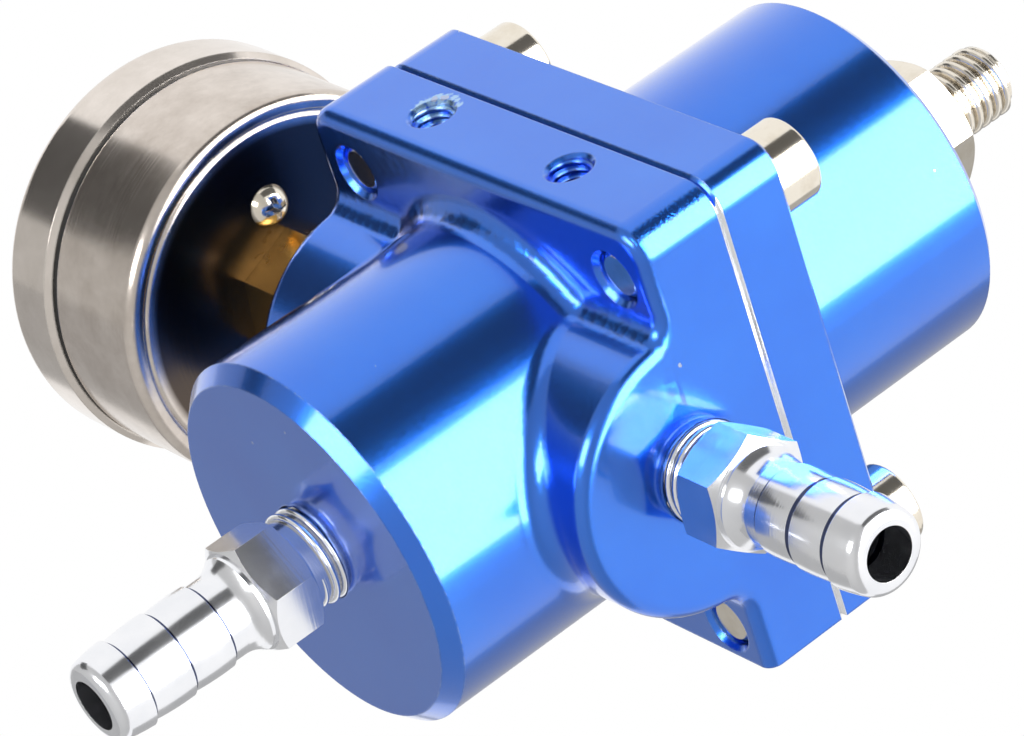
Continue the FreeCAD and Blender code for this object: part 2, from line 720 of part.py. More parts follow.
def make_diaphragm():
    body = new_body("diaphragm")
    outer, clamp = S["diaphragm_diameter"] / 2, S["clamp_inner"] / 2
    thick, hole = S["diaphragm_thickness"], S["stud_diameter"] / 2
    plate, rise = S["plate_diameter"] / 2, S["fold_height"]
    margin, thinning = 0.6, 0.4
    fold_in, fold_out = plate + margin, clamp - margin
    middle = (fold_in + fold_out) / 2
    half = (fold_out - fold_in) / 2
    crown = (half * half + rise * rise) / (rise * 2)
    inner_half, lower_rise = half - thinning, rise - thinning
    lower_crown = (inner_half * inner_half + lower_rise * lower_rise) / (lower_rise * 2)
    profile = section(body, "sheet_section", [
        (hole, -thick), (middle - inner_half, -thick),
        (middle, lower_rise - thick, -lower_crown),
        (middle + inner_half, -thick, -lower_crown),
        (outer, -thick), (outer, 0), (fold_out, 0),
        (middle, rise, crown), (fold_in, 0, crown), (hole, 0)])
    turned(body, "sheet", profile)
    return keep(body)


def make_lower_plate():
    body = new_body("diaphragm_lower_plate")
    edge, hole = S["plate_diameter"] / 2, S["stud_diameter"] / 2
    top = -S["diaphragm_thickness"]
    bottom = top - S["plate_thickness"]
    profile = section(body, "plate_section", [
        (hole, bottom), (edge - 0.4, bottom), (edge, bottom + 0.4), (edge, top),
        (hole, top)])
    turned(body, "plate", profile)
    return keep(body)


def make_spring_cup():
    body = new_body("diaphragm_spring_cup")
    edge, hole = S["plate_diameter"] / 2, S["stud_diameter"] / 2
    thick = S["plate_thickness"]
    rim_top = thick + S["cup_rim"]
    inside = (S["spring_mean"] + S["wire_diameter"]) / 2 + 0.3
    profile = section(body, "cup_section", [
        (hole, 0), (edge, 0), (edge, rim_top), (inside, rim_top), (inside, thick),
        (hole, thick)])
    turned(body, "cup", profile)
    return keep(body)


def make_valve_stud():
    body = new_body("valve_stud")
    shank, head = S["stud_diameter"] / 2, S["stud_head"] / 2
    under = -S["diaphragm_thickness"] - S["plate_thickness"]
    bottom = under - S["stud_head_height"]
    disc, depth = S["disc_diameter"] / 2, S["disc_thickness"]
    over = S["plate_thickness"]
    rivet, top = shank + 1.1, over + S["rivet_height"]
    profile = section(body, "stud_section", [
        (0, bottom + depth), (disc, bottom + depth), (disc, bottom),
        (head - 0.2, bottom), (head, bottom + 0.2), (head, under), (shank, under),
        (shank, over), (rivet, over), (shank - 0.4, top), (0, top)])
    turned(body, "stud", profile)
    return keep(body)


def make_valve_disc():
    body = new_body("valve_disc")
    bottom = -S["diaphragm_thickness"] - S["plate_thickness"] - S["stud_head_height"]
    edge = S["disc_diameter"] / 2
    profile = section(
        body, "disc_section",
        ring_section(0, edge, bottom, bottom + S["disc_thickness"]))
    turned(body, "disc", profile)
    return keep(body)


def make_valve_seat():
    """A brass seat pressed into the post; its nose meets the valve disc."""
    body = new_body("valve_seat")
    bore, shank = S["seat_bore"] / 2, S["seat_body"] / 2
    post_top = -S["post_drop"]
    collar = post_top + S["seat_flange"]
    nose = collar + S["seat_nose"]
    bottom = post_top - S["seat_depth"] + 0.5
    profile = section(body, "seat_section", [
        (bore, bottom), (shank - 0.4, bottom), (shank, bottom + 0.4),
        (shank, post_top), (shank + 0.9, post_top), (shank + 0.9, collar),
        (bore + 1.0, collar), (bore + 0.45, nose), (bore, nose)])
    turned(body, "seat", profile)
    return keep(body)


# Spring and adjuster

SPRING_FOOT = S["plate_thickness"]
SPRING_HEAD = SPRING_FOOT + S["spring_length"]
HUB_TOP = SPRING_HEAD + S["seat_plate_height"] + S["seat_hub_height"]
NUT_SEAT = S["bonnet_height"] + S["nut_boss_height"]
WIRE_SIDES = 8


def make_main_spring():
    body = new_body("main_spring")
    wire = S["wire_diameter"] / 2
    corners = [
        (S["spring_mean"] / 2 + wire * cosine((k + 0.5) * 360 / WIRE_SIDES),
         SPRING_FOOT + wire + wire * sine((k + 0.5) * 360 / WIRE_SIDES))
        for k in range(WIRE_SIDES)]
    profile = section(body, "wire_section", corners)
    coil = body.newObject("PartDesign::AdditiveHelix", "coil")
    coil.Profile = profile
    coil.ReferenceAxis = (profile, ["V_Axis"])
    coil.Mode = "height-turns-angle"
    coil.Angle = 0
    bind(coil, "Height", S["spring_length"] - S["wire_diameter"])
    bind(coil, "Turns", S["spring_turns"])
    return keep(body)


def make_spring_seat():
    body = new_body("spring_seat")
    edge, hub = S["spring_chamber"] / 2 - S["seat_play"], S["seat_hub"] / 2
    under, top = SPRING_HEAD, HUB_TOP
    over = under + S["seat_plate_height"]
    spigot = (S["spring_mean"] - S["wire_diameter"]) / 2 - S["loose_fit"]
    dimple = S["adjuster_diameter"] / 2 - 1.0
    profile = section(body, "seat_section", [
        (0, under - 1.5), (spigot - 0.5, under - 1.5), (spigot, under - 1.0),
        (spigot, under), (edge, under), (edge, over - 0.5), (edge - 0.5, over),
        (hub, over), (hub, top), (dimple + 0.2, top), (0, top - 1.8)])
    turned(body, "seat", profile)
    return keep(body)


def make_adjusting_screw():
    body = new_body("adjusting_screw")
    radius, top = S["adjuster_diameter"] / 2, S["adjuster_top"]
    tip = radius - 1.2
    profile = section(body, "screw_section", [
        (0, HUB_TOP - 1.6), (tip, HUB_TOP + 0.2), (radius, HUB_TOP + 1.4),
        (radius, top - 0.8), (radius - 0.8, top), (0, top)])
    turned(body, "screw", profile)
    socket = section(body, "socket_outline", hexagon(S["adjuster_socket"], 10),
                     plane="XY", shift=(0, 0, top))
    raised(body, "socket", socket, S["adjuster_socket_depth"], cut=True)
    return keep(body)


def make_lock_nut():
    body = new_body("lock_nut", turn=NUT_TURN)
    flats, bore = S["nut_flats"], S["adjuster_diameter"] / 2 + S["thread_fit"]
    outline = section(body, "nut_outline", hexagon(flats), plane="XY",
                      shift=(0, 0, NUT_SEAT))
    raised(body, "nut", outline, S["nut_height"])
    chamfer_corners(body, "top_chamfer", flats, NUT_SEAT + S["nut_height"], True)
    chamfer_corners(body, "bottom_chamfer", flats, NUT_SEAT, False)
    top, low = NUT_SEAT + S["nut_height"], NUT_SEAT
    hole = section(body, "thread_section", [
        (0, low - 1), (bore + 0.6, low - 1), (bore + 0.6, low), (bore, low + 0.6),
        (bore, top - 0.6), (bore + 0.6, top), (bore + 0.6, top + 1), (0, top + 1)])
    turned(body, "thread_hole", hole, cut=True)
    return keep(body)


# Hose tails


def thread_end(gap):
    """Section of a port thread: full inside the port, its core where it shows."""
    thread, core = S["port_thread"] / 2 - S["thread_fit"], S["port_core"] / 2
    inside = -gap - 1.0
    return [(thread, inside), (core, inside + thread - core)]


def make_hose_tail(label, place, facing, gap, turn):
    """A turned hose tail: thread, hexagon, collar and three barbs."""
    body = new_body(label, place, facing, turn)
    flats, thick = S["tail_flats"], S["tail_hex"]
    outline = section(body, "hexagon_outline", hexagon(flats), plane="XY")
    raised(body, "hexagon", outline, thick)
    chamfer_corners(body, "front_chamfer", flats, thick, True)
    chamfer_corners(body, "back_chamfer", flats, 0, False)
    tip, bore = S["tail_length"], S["tail_bore"] / 2
    barb, step = S["barb_diameter"] / 2, S["barb_step"] / 2
    neck, thread = S["tail_neck"] / 2, S["port_thread"] / 2 - S["thread_fit"]
    back = -gap - S["thread_grip"]
    first = tip - S["barb_lead"]
    second, third = first - S["barb_pitch"], first - S["barb_pitch"] * 2
    bulge = S["barb_pitch"] * 6
    outer = [
        (bore, back), (thread - 0.8, back), (thread, back + 0.8), *thread_end(gap),
        (S["port_core"] / 2, thick / 2), (neck, thick / 2),
        (neck, thick + 0.5), (barb - step - 0.1, thick + 2.6, -3.2),
        (barb - step - 0.1, third), (barb - 0.2, third),
        (barb - step, second - 0.1, bulge), (barb - 0.1, second),
        (barb - step, first - 0.1, bulge), (barb, first),
        (barb - 0.3, tip - 1.1, bulge), (barb - 1.4, tip, 1.2), (bore, tip)]
    profile = section(body, "tail_section", outer)
    turned(body, "tail", profile)
    drill = section(body, "bore_section",
                    ring_section(0, bore, back - 1, tip + 1))
    turned(body, "bore", drill, cut=True)
    return keep(body)


def make_vacuum_nipple():
    place = (
        MAIN_AXIS[0] - S["bonnet_radius"] + 0.5,
        MAIN_AXIS[1],
        MAIN_AXIS[2] + S["nipple_height"],
    )
    body = new_body("vacuum_nipple", place, FACING_LEFT)
    flats, thick = S["nipple_flats"], S["nipple_hex"]
    outline = section(body, "hexagon_outline", hexagon(flats), plane="XY")
    raised(body, "hexagon", outline, thick)
    chamfer_corners(body, "front_chamfer", flats, thick, True)
    thread, bore = S["nipple_thread"] / 2 - S["thread_fit"], S["nipple_bore"] / 2
    barb, tip = S["nipple_barb"] / 2, thick + S["nipple_tube"]
    wall = (S["bonnet_radius"] - S["spring_chamber"] / 2) - 1.0
    profile = section(body, "nipple_section", [
        (bore, -wall), (thread - 0.4, -wall), (thread, -wall + 0.4), (thread, thick / 2),
        (barb - 0.5, thick / 2), (barb - 0.5, tip - 3.0), (barb, tip - 3.0),
        (barb - 0.8, tip), (bore, tip)])
    turned(body, "nipple", profile)
    drill = section(body, "bore_section", ring_section(0, bore, -wall - 1, tip + 1))
    turned(body, "bore", drill, cut=True)
    return keep(body)


# Gauge case

CASE_BACK = S["case_back"]
CASE_STEP = CASE_BACK + S["case_depth"]
CASE_FRONT = CASE_STEP + S["spigot_length"]
BEZEL_BACK = CASE_STEP + S["gasket_width"]
BEZEL_FRONT = BEZEL_BACK + S["bezel_length"]
CASE_FLOOR = CASE_BACK + S["case_wall"]


def gauge_body(label, turn=0):
    return new_body(label, LEFT_PORT, FACING_LEFT, turn)


def make_gauge_case():
    """A drawn cup, its rim stepped in for the bezel."""
    body = gauge_body("gauge_case")
    outer, wall = S["gauge_case"] / 2, S["case_wall"]
    spigot, bend = S["spigot_diameter"] / 2, S["case_round"]
    hole = S["stem_neck"] / 2 + 0.1
    profile = section(body, "case_section", [
        (hole, CASE_BACK), (outer - bend, CASE_BACK),
        (outer, CASE_BACK + bend, bend), (outer, CASE_STEP), (spigot, CASE_STEP),
        (spigot, CASE_FRONT), (spigot - wall, CASE_FRONT),
        (spigot - wall, CASE_STEP - wall), (outer - wall, CASE_STEP - wall),
        (outer - wall, CASE_BACK + bend), (outer - bend, CASE_FLOOR, wall - bend),
        (hole, CASE_FLOOR)])
    turned(body, "case", profile)
    reach = S["back_screw_circle"] / 2
    hole_size = S["back_screw"] + S["thread_fit"] * 2
    holes = circles(body, "back_screw_holes",
                    (reach, 0, hole_size), (-reach, 0, hole_size),
                    shift=(0, 0, CASE_BACK - 1))
    raised(body, "back_holes", holes, wall + 2, cut=True, reverse=True)
    return keep(body)


def make_gauge_gasket():
    body = gauge_body("gauge_gasket")
    inner = S["spigot_diameter"] / 2
    outer = S["gauge_case"] / 2 - 0.1
    profile = section(body, "gasket_section",
                      ring_section(inner, outer, CASE_STEP, BEZEL_BACK))
    turned(body, "gasket", profile)
    return keep(body)


LENS_BACK = CASE_FRONT


def make_gauge_bezel():
    body = gauge_body("gauge_bezel")
    outer, bevel = S["bezel_diameter"] / 2, S["bezel_bevel"]
    inner = S["spigot_diameter"] / 2 + S["pin_fit"]
    window, lip = S["bezel_opening"] / 2, LENS_BACK + S["lens_thickness"]
    profile = section(body, "bezel_section", [
        (inner, BEZEL_BACK), (outer - bevel, BEZEL_BACK), (outer, BEZEL_BACK + bevel),
        (outer, BEZEL_FRONT - bevel * 2), (outer - bevel * 2, BEZEL_FRONT, bevel * 2),
        (window + 0.5, BEZEL_FRONT), (window, lip), (inner, lip)])
    turned(body, "bezel", profile)
    return keep(body)


def make_gauge_lens():
    body = gauge_body("gauge_lens")
    edge = S["spigot_diameter"] / 2 - 0.1
    profile = section(body, "lens_section",
                      ring_section(0, edge, LENS_BACK, LENS_BACK + S["lens_thickness"]))
    turned(body, "lens", profile)
    return keep(body)


def make_gauge_back_screws():
    """Two cross-recessed pan head screws through the case's back."""
    body = gauge_body("gauge_back_screws")
    reach, shank = S["back_screw_circle"] / 2, S["back_screw"] / 2
    head, rise = S["back_screw_head"] / 2, S["back_screw_height"]
    end = CASE_FLOOR + S["foot_height"]
    crown = (head * head + rise * rise) / (rise * 2)
    profile = section(
        body, "screw_section",
        [(0, CASE_BACK - rise), (head, CASE_BACK, crown), (shank, CASE_BACK),
         (shank, end), (0, end)],
        shift=(reach, 0, 0))
    screw = turned(body, "screw", profile)
    arm, slot = head * 0.55, head * 0.14
    cross = section(
        body, "recess_outline",
        [(-arm, -slot), (-slot, -slot), (-slot, -arm), (slot, -arm), (slot, -slot),
         (arm, -slot), (arm, slot), (slot, slot), (slot, arm), (-slot, arm),
         (-slot, slot), (-arm, slot)],
        plane="XY", shift=(reach, 0, CASE_BACK - rise))
    recess = raised(body, "recess", cross, rise * 0.6, cut=True, reverse=True)
    axis = circles(body, "pattern_axis", (0, 0, 1))
    around(body, "two_screws", [screw, recess], axis, 2)
    return keep(body)


# Gauge stem and pressure tube

BLOCK_TOP = CASE_FLOOR + S["block_height"]
ROOT_ANGLE = S["tube_start"]
TIP_ANGLE = ROOT_ANGLE - S["tube_span"]
TUBE_LEVEL = CASE_FLOOR + S["foot_height"] + S["loose_fit"] + S["tube_depth"] / 2


def make_gauge_stem():
    """Brass stem: thread, hexagon, neck through the case, and the tube's block."""
    body = gauge_body("gauge_stem")
    thread, bore = S["port_thread"] / 2 - S["thread_fit"], S["stem_bore"] / 2
    back = -S["stem_grip"]
    hex_back = CASE_BACK - S["stem_hex"]
    neck = S["stem_neck"] / 2
    shank = section(body, "stem_section", [
        (0, back), (thread - 0.8, back), (thread, back + 0.8), *thread_end(as_size(0)),
        (S["port_core"] / 2, hex_back), (neck, hex_back), (neck, CASE_FLOOR),
        (0, CASE_FLOOR)])
    turned(body, "shank", shank)
    outline = section(body, "hexagon_outline", hexagon(S["stem_flats"], STEM_TURN),
                      plane="XY", shift=(0, 0, hex_back))
    raised(body, "hexagon", outline, S["stem_hex"])
    chamfer_corners(body, "back_chamfer", S["stem_flats"], hex_back, False)
    half, low = S["block_width"] / 2, -S["tube_radius"] - 2.6
    block = section(
        body, "block_outline",
        [(-half, low), (half, low), (half, half), (-half, half)],
        plane="XY", shift=(0, 0, CASE_FLOOR))
    raised(body, "socket_block", block, S["block_height"])
    reach, foot_half = S["back_screw_circle"] / 2, S["back_screw"] / 2 + 1.2
    foot = section(
        body, "foot_outline",
        [(-reach, -foot_half), (reach, -foot_half), (reach + foot_half - 1.0, 0, foot_half),
         (reach, foot_half, foot_half), (-reach, foot_half),
         (-reach - foot_half + 1.0, 0, foot_half)],
        plane="XY", shift=(0, 0, CASE_FLOOR))
    raised(body, "foot", foot, S["foot_height"])
    tapped = S["back_screw"] + S["thread_fit"] * 2
    tapping = circles(body, "foot_holes", (reach, 0, tapped), (-reach, 0, tapped),
                      shift=(0, 0, CASE_FLOOR - 1))
    raised(body, "tapped_holes", tapping, S["foot_height"] + 2, cut=True, reverse=True)
    slot = S["tube_flat"] / 2 + S["loose_fit"]
    channel = section(body, "tube_slot_section", ring_section(
        S["tube_radius"] - slot, S["tube_radius"] + slot,
        TUBE_LEVEL - S["tube_depth"] / 2 - S["loose_fit"], BLOCK_TOP + 1))
    turned(body, "tube_slot", channel, cut=True)
    drill = section(body, "bore_section",
                    ring_section(0, bore, back - 1, CASE_FLOOR + S["block_height"] / 2))
    turned(body, "bore", drill, cut=True)
    return keep(body)


def make_gauge_restrictor():
    """A small screw with a fine hole that calms the pointer."""
    body = gauge_body("gauge_restrictor")
    outer = S["stem_bore"] / 2 - 0.02
    profile = section(body, "restrictor_section",
                      ring_section(0.35, outer, -S["stem_grip"] + 0.5, -S["stem_grip"] + 4))
    turned(body, "restrictor", profile)
    return keep(body)


def oval(centre, level, width, depth):
    """The flattened section of the pressure tube, its ends round."""
    half, flat = width / 2, depth / 2 - width / 2
    return [
        (centre + half, level - flat, half), (centre + half, level + flat),
        (centre, level + flat + half, half), (centre - half, level + flat, half),
        (centre - half, level - flat), (centre, level - flat - half, half)]


def make_bourdon_tube():
    """The pressure tube: a flattened tube bent round the movement."""
    body = gauge_body("bourdon_tube", turn=TIP_ANGLE.number)
    outer = oval(S["tube_radius"], TUBE_LEVEL, S["tube_flat"], S["tube_depth"])
    inner = oval(S["tube_radius"], TUBE_LEVEL, S["tube_flat"] - S["tube_wall"] * 2,
                 S["tube_depth"] - S["tube_wall"] * 2)
    profile = section(body, "tube_section", outer, inner)
    tube = turned(body, "tube", profile, angle=S["tube_span"])
    tube.Reversed = False
    return keep(body)


SECTOR_LEVEL = BLOCK_TOP + S["plate_sheet"] + 1.0
LINK_LEVEL = SECTOR_LEVEL + S["sector_sheet"] + 0.1
SECTOR_REST = S["pointer_sweep"] / S["gear_ratio"] / 2


def make_bourdon_tip():
    """The brass cap on the tube's free end, with the pin for the link."""
    body = gauge_body("bourdon_tip", turn=TIP_ANGLE.number)
    radius, half = S["tube_radius"], S["tube_flat"] / 2 + 0.5
    low, high = TUBE_LEVEL - S["tube_depth"] / 2 - 0.4, TUBE_LEVEL + S["tube_depth"] / 2 + 0.4
    block = section(
        body, "cap_outline",
        [(radius - half, -S["tip_length"]), (radius + half, -S["tip_length"]),
         (radius + half, 0), (radius - half, 0)],
        plane="XY", shift=(0, 0, low))
    raised(body, "cap", block, high - low)
    pin = circles(body, "pin_outline",
                  (radius, -S["tip_length"] / 2, S["link_pin"]), shift=(0, 0, high))
    raised(body, "pin", pin, LINK_LEVEL + S["link_sheet"] + 0.4 - high)
    return keep(body)


# Gauge movement

PLATE_LEVEL = BLOCK_TOP
FRONT_LEVEL = PLATE_LEVEL + S["plate_sheet"] + S["plate_gap"]
DIAL_LEVEL = FRONT_LEVEL + S["plate_sheet"]


def pillar_circles(diameter):
    back, side = -S["pillar_back"], S["pillar_spacing"] / 2
    return [(back, side, diameter), (back, -side, diameter)]


def dial_screw_circles(diameter):
    reach = S["dial_screw_circle"] / 2
    return [(reach * cosine(turn), reach * sine(turn), diameter) for turn in DIAL_SCREW_TURNS]


def plate_outline():
    end = S["pivot_distance"] + S["pivot_pin"] / 2 + 0.8
    back, shoulder = -S["plate_back"], S["plate_shoulder"]
    side, nose = S["plate_width"] / 2, S["plate_nose"] / 2
    return [(back, -side), (shoulder, -side), (end, -nose), (end, nose),
            (shoulder, side), (back, side)]


def make_movement_plate(label, level):
    body = gauge_body(label)
    outline = section(body, "plate_outline", plate_outline(), plane="XY",
                      shift=(0, 0, level))
    raised(body, "plate", outline, S["plate_sheet"])
    fit = S["pin_fit"] * 2
    rings = [(0, 0, S["arbor_diameter"] + fit), (S["pivot_distance"], 0, S["pivot_pin"] + fit)]
    rings += dial_screw_circles(S["dial_screw"] + fit)
    holes = circles(body, "pivot_holes", *rings, shift=(0, 0, level - 1))
    raised(body, "holes", holes, S["plate_sheet"] + 2, cut=True, reverse=True)
    return keep(body)


def make_movement_pillars():
    body = gauge_body("movement_pillars")
    feet = circles(body, "pillar_outline", *pillar_circles(S["pillar_diameter"]),
                   shift=(0, 0, PLATE_LEVEL + S["plate_sheet"]))
    raised(body, "pillars", feet, S["plate_gap"])
    return keep(body)


MODULE = S["pivot_distance"] * 2 / (S["pinion_teeth"] * (S["gear_ratio"] + 1))


def gear_tooth_gap(pitch_radius, teeth, depth_in, depth_out):
    """The space between two teeth, drawn pointing along +X."""
    half = 90.0 / teeth
    wide, narrow = half * 1.45, half * 0.75
    root, crest = pitch_radius - depth_in, pitch_radius + depth_out
    return [
        (root * cosine(-narrow), root * sine(-narrow)),
        (crest * cosine(-wide), crest * sine(-wide)),
        (crest * cosine(wide), crest * sine(wide)),
        (root * cosine(narrow), root * sine(narrow)),
    ]


def make_pinion_arbor():
    """The pointer's arbor with its pinion."""
    body = gauge_body("pinion_arbor")
    radius = S["arbor_diameter"] / 2
    teeth = int(S["pinion_teeth"].number)
    pitch = MODULE * S["pinion_teeth"] / 2
    crest = pitch + MODULE
    low, high = SECTOR_LEVEL - 0.4, SECTOR_LEVEL + S["sector_sheet"] + 0.4
    bottom, top = PLATE_LEVEL + 0.2, DIAL_LEVEL + S["dial_sheet"] + 2.6
    profile = section(body, "arbor_section", [
        (0, bottom), (radius - 0.1, bottom), (radius, bottom + 0.1), (radius, low), (crest, low),
        (crest, high), (radius, high), (radius, top), (0, top)])
    turned(body, "arbor", profile)
    gap = section(
        body, "tooth_gap_outline",
        gear_tooth_gap(pitch, teeth, MODULE * 1.2, MODULE * 1.4),
        plane="XY", shift=(0, 0, low - 0.1))
    cut = raised(body, "tooth_gap", gap, high - low + 0.2, cut=True, reverse=True)
    axis = circles(body, "pattern_axis", (0, 0, 0.2))
    around(body, "teeth", [cut], axis, teeth)
    return keep(body)


def make_sector_gear():
    """Toothed sector with its tail, drawn about its own pivot."""
    place = (LEFT_PORT[0], LEFT_PORT[1] - S["pivot_distance"], LEFT_PORT[2])
    body = new_body("sector_gear", place, FACING_LEFT)
    sheet_t = S["sector_sheet"]
    pitch = S["pivot_distance"] - MODULE * S["pinion_teeth"] / 2
    crest = pitch + MODULE
    teeth_full = S["pinion_teeth"].number * S["gear_ratio"].number
    step = 360.0 / teeth_full
    count = int(S["sector_teeth"].number)
    first = 180.0 + 1.5 * step
    last = first - count * step
    web = MODULE * 6
    tail, eye = S["sector_tail"], 1.3
    rest = -SECTOR_REST
    hub = 1.9
    arc_mid = (first + last) / 2
    outline = [
        (crest * cosine(first), crest * sine(first)),
        (crest * cosine(last), crest * sine(last), -crest),
        ((crest - web) * cosine(last + 2), (crest - web) * sine(last + 2)),
        (hub * cosine(arc_mid - 50), hub * sine(arc_mid - 50)),
        (hub * cosine(60), hub * sine(60), -hub),
        (tail * cosine(rest) + eye * cosine(rest + 70), tail * sine(rest) + eye * sine(rest + 70)),
        (tail * cosine(rest) + eye * cosine(rest - 70), tail * sine(rest) + eye * sine(rest - 70), -eye),
        (hub * cosine(-90), hub * sine(-90)),
        (hub * cosine(arc_mid + 50), hub * sine(arc_mid + 50), -hub),
        ((crest - web) * cosine(first - 2), (crest - web) * sine(first - 2)),
    ]
    blank = section(body, "blank_outline", outline, plane="XY", shift=(0, 0, SECTOR_LEVEL))
    raised(body, "blank", blank, sheet_t)
    for k in range(count + 1):
        angle = first - k * step
        reach = [
            (MODULE * -1.25 + pitch, 0.32), (MODULE * 1.4 + pitch, 0.62),
        ]
        corners = []
        for radius, share in reach:
            for side in (-1, 1):
                turn = angle + side * share * step / 2
                corners.append((radius * cosine(turn), radius * sine(turn)))
        ordered = [corners[0], corners[2], corners[3], corners[1]]
        gap = section(body, f"gap_outline_{k}", ordered, plane="XY",
                      shift=(0, 0, SECTOR_LEVEL - 0.1))
        raised(body, f"gap_{k}", gap, sheet_t + 0.2, cut=True, reverse=True)
    pivot = circles(body, "pivot_hole", (0, 0, S["pivot_pin"] + S["pin_fit"] * 2),
                    shift=(0, 0, SECTOR_LEVEL - 0.1))
    raised(body, "pivot", pivot, sheet_t + 0.2, cut=True, reverse=True)
    pin = circles(body, "link_pin_outline",
                  (tail * cosine(rest), tail * sine(rest), S["link_pin"]),
                  shift=(0, 0, SECTOR_LEVEL + sheet_t))
    raised(body, "link_pin", pin, LINK_LEVEL + S["link_sheet"] + 0.4 - SECTOR_LEVEL - sheet_t)
    return keep(body)


def make_sector_pivot():
    body = gauge_body("sector_pivot_pin")
    pin = circles(body, "pin_outline", (S["pivot_distance"], 0, S["pivot_pin"]),
                  shift=(0, 0, PLATE_LEVEL))
    raised(body, "pin", pin, DIAL_LEVEL - PLATE_LEVEL)
    return keep(body)


def link_ends():
    """Both pins of the link at rest, seen on the dial side."""
    radius, back = S["tube_radius"], S["tip_length"] / 2
    tip = (radius * cosine(TIP_ANGLE) + back * sine(TIP_ANGLE),
           radius * sine(TIP_ANGLE) - back * cosine(TIP_ANGLE))
    tail = (S["pivot_distance"] + S["sector_tail"] * cosine(-SECTOR_REST),
            S["sector_tail"] * sine(-SECTOR_REST))
    return tip, tail


def make_sector_link():
    """The link between the tube's tip and the sector's tail."""
    body = gauge_body("sector_link")
    (tip_x, tip_y), (tail_x, tail_y) = link_ends()
    eye = S["link_pin"] / 2 + 0.7
    outline = section(
        body, "link_outline",
        [(tip_x + eye, tip_y, eye), (tail_x + eye, tail_y), (tail_x, tail_y + eye, eye),
         (tail_x - eye, tail_y, eye), (tip_x - eye, tip_y), (tip_x, tip_y - eye, eye)],
        plane="XY", shift=(0, 0, LINK_LEVEL))
    raised(body, "link", outline, S["link_sheet"])
    holes = circles(body, "pin_holes",
                    (tip_x, tip_y, S["link_pin"] + S["pin_fit"] * 2),
                    (tail_x, tail_y, S["link_pin"] + 0.4), shift=(0, 0, LINK_LEVEL - 0.1))
    raised(body, "holes", holes, S["link_sheet"] + 0.2, cut=True, reverse=True)
    return keep(body)


def make_hairspring():
    """A flat spiral that takes up the play of the teeth."""
    level = LINK_LEVEL + 0.9
    spiral = doc.addObject("Part::Spiral", "hairspring_line")
    bind(spiral, "Growth", S["hair_rise"])
    bind(spiral, "Rotations", S["hair_turns"])
    bind(spiral, "Radius", S["arbor_diameter"] / 2 + 0.5)
    spiral.SegmentLength = 1
    band = doc.addObject("Part::Plane", "hairspring_section")
    band.Length = 0.15
    bind(band, "Width", S["hair_band"])
    band.Placement = Placement(Vector(), Rotation(Vector(1, 0, 0), 90))
    bind(band, "Placement.Base.x", S["arbor_diameter"] / 2 + 0.5 - 0.075)
    sweep = doc.addObject("Part::Sweep", "hairspring")
    sweep.Label = "hairspring"
    sweep.Sections = [band]
    sweep.Spine = (spiral, [])
    sweep.Solid = True
    sweep.Frenet = True
    sweep.Placement = Placement(Vector(), FACING_LEFT)
    bind(sweep, "Placement.Base.x", LEFT_PORT[0] - level)
    bind(sweep, "Placement.Base.y", LEFT_PORT[1])
    bind(sweep, "Placement.Base.z", LEFT_PORT[2])
    return keep(sweep)


def make_gauge_dial():
    body = gauge_body("gauge_dial")
    edge, hole = S["dial_diameter"] / 2, S["arbor_diameter"] / 2 + 0.8
    profile = section(body, "dial_section",
                      ring_section(hole, edge, DIAL_LEVEL, DIAL_LEVEL + S["dial_sheet"]))
    turned(body, "dial", profile)
    holes = circles(body, "screw_holes",
                    *dial_screw_circles(S["dial_screw"] + S["pin_fit"] * 2),
                    shift=(0, 0, DIAL_LEVEL - 1))
    raised(body, "holes", holes, S["dial_sheet"] + 2, cut=True, reverse=True)
    return keep(body)


def make_dial_screws():
    body = gauge_body("dial_screws")
    top = DIAL_LEVEL + S["dial_sheet"]
    end = FRONT_LEVEL + 0.1
    shanks = circles(body, "shank_outline", *dial_screw_circles(S["dial_screw"]),
                     shift=(0, 0, end))
    raised(body, "shanks", shanks, top - end)
    heads = circles(body, "head_outline", *dial_screw_circles(S["dial_screw_head"]),
                    shift=(0, 0, top))
    raised(body, "heads", heads, S["dial_screw_height"])
    return keep(body)


def make_gauge_pointer():
    """The pointer with its hub, at the foot of the scale."""
    body = gauge_body("gauge_pointer", turn=POINTER_REST)
    level = DIAL_LEVEL + S["dial_sheet"] + S["pointer_rise"]
    reach, tail = S["pointer_length"], S["pointer_tail"]
    root, tip = S["pointer_width"] / 2, S["pointer_tip"] / 2
    end = root * 1.2
    blade = section(
        body, "blade_outline",
        [(-tail, -end), (0, -root), (reach, -tip), (reach, tip), (0, root), (-tail, end)],
        plane="XY", shift=(0, 0, level))
    raised(body, "blade", blade, S["pointer_sheet"])
    radius, foot, cap = S["pointer_hub"] / 2, level - 0.5, level + S["pointer_sheet"] + 0.8
    hub = section(body, "hub_section", [
        (0, foot), (radius, foot), (radius, cap), (radius - 0.5, cap + 0.3), (0, cap + 0.3)])
    turned(body, "hub", hub)
    bore = S["arbor_diameter"] / 2
    hole = section(body, "hub_hole", ring_section(0, bore, foot - 0.5, cap))
    turned(body, "hole", hole, cut=True)
    return keep(body)


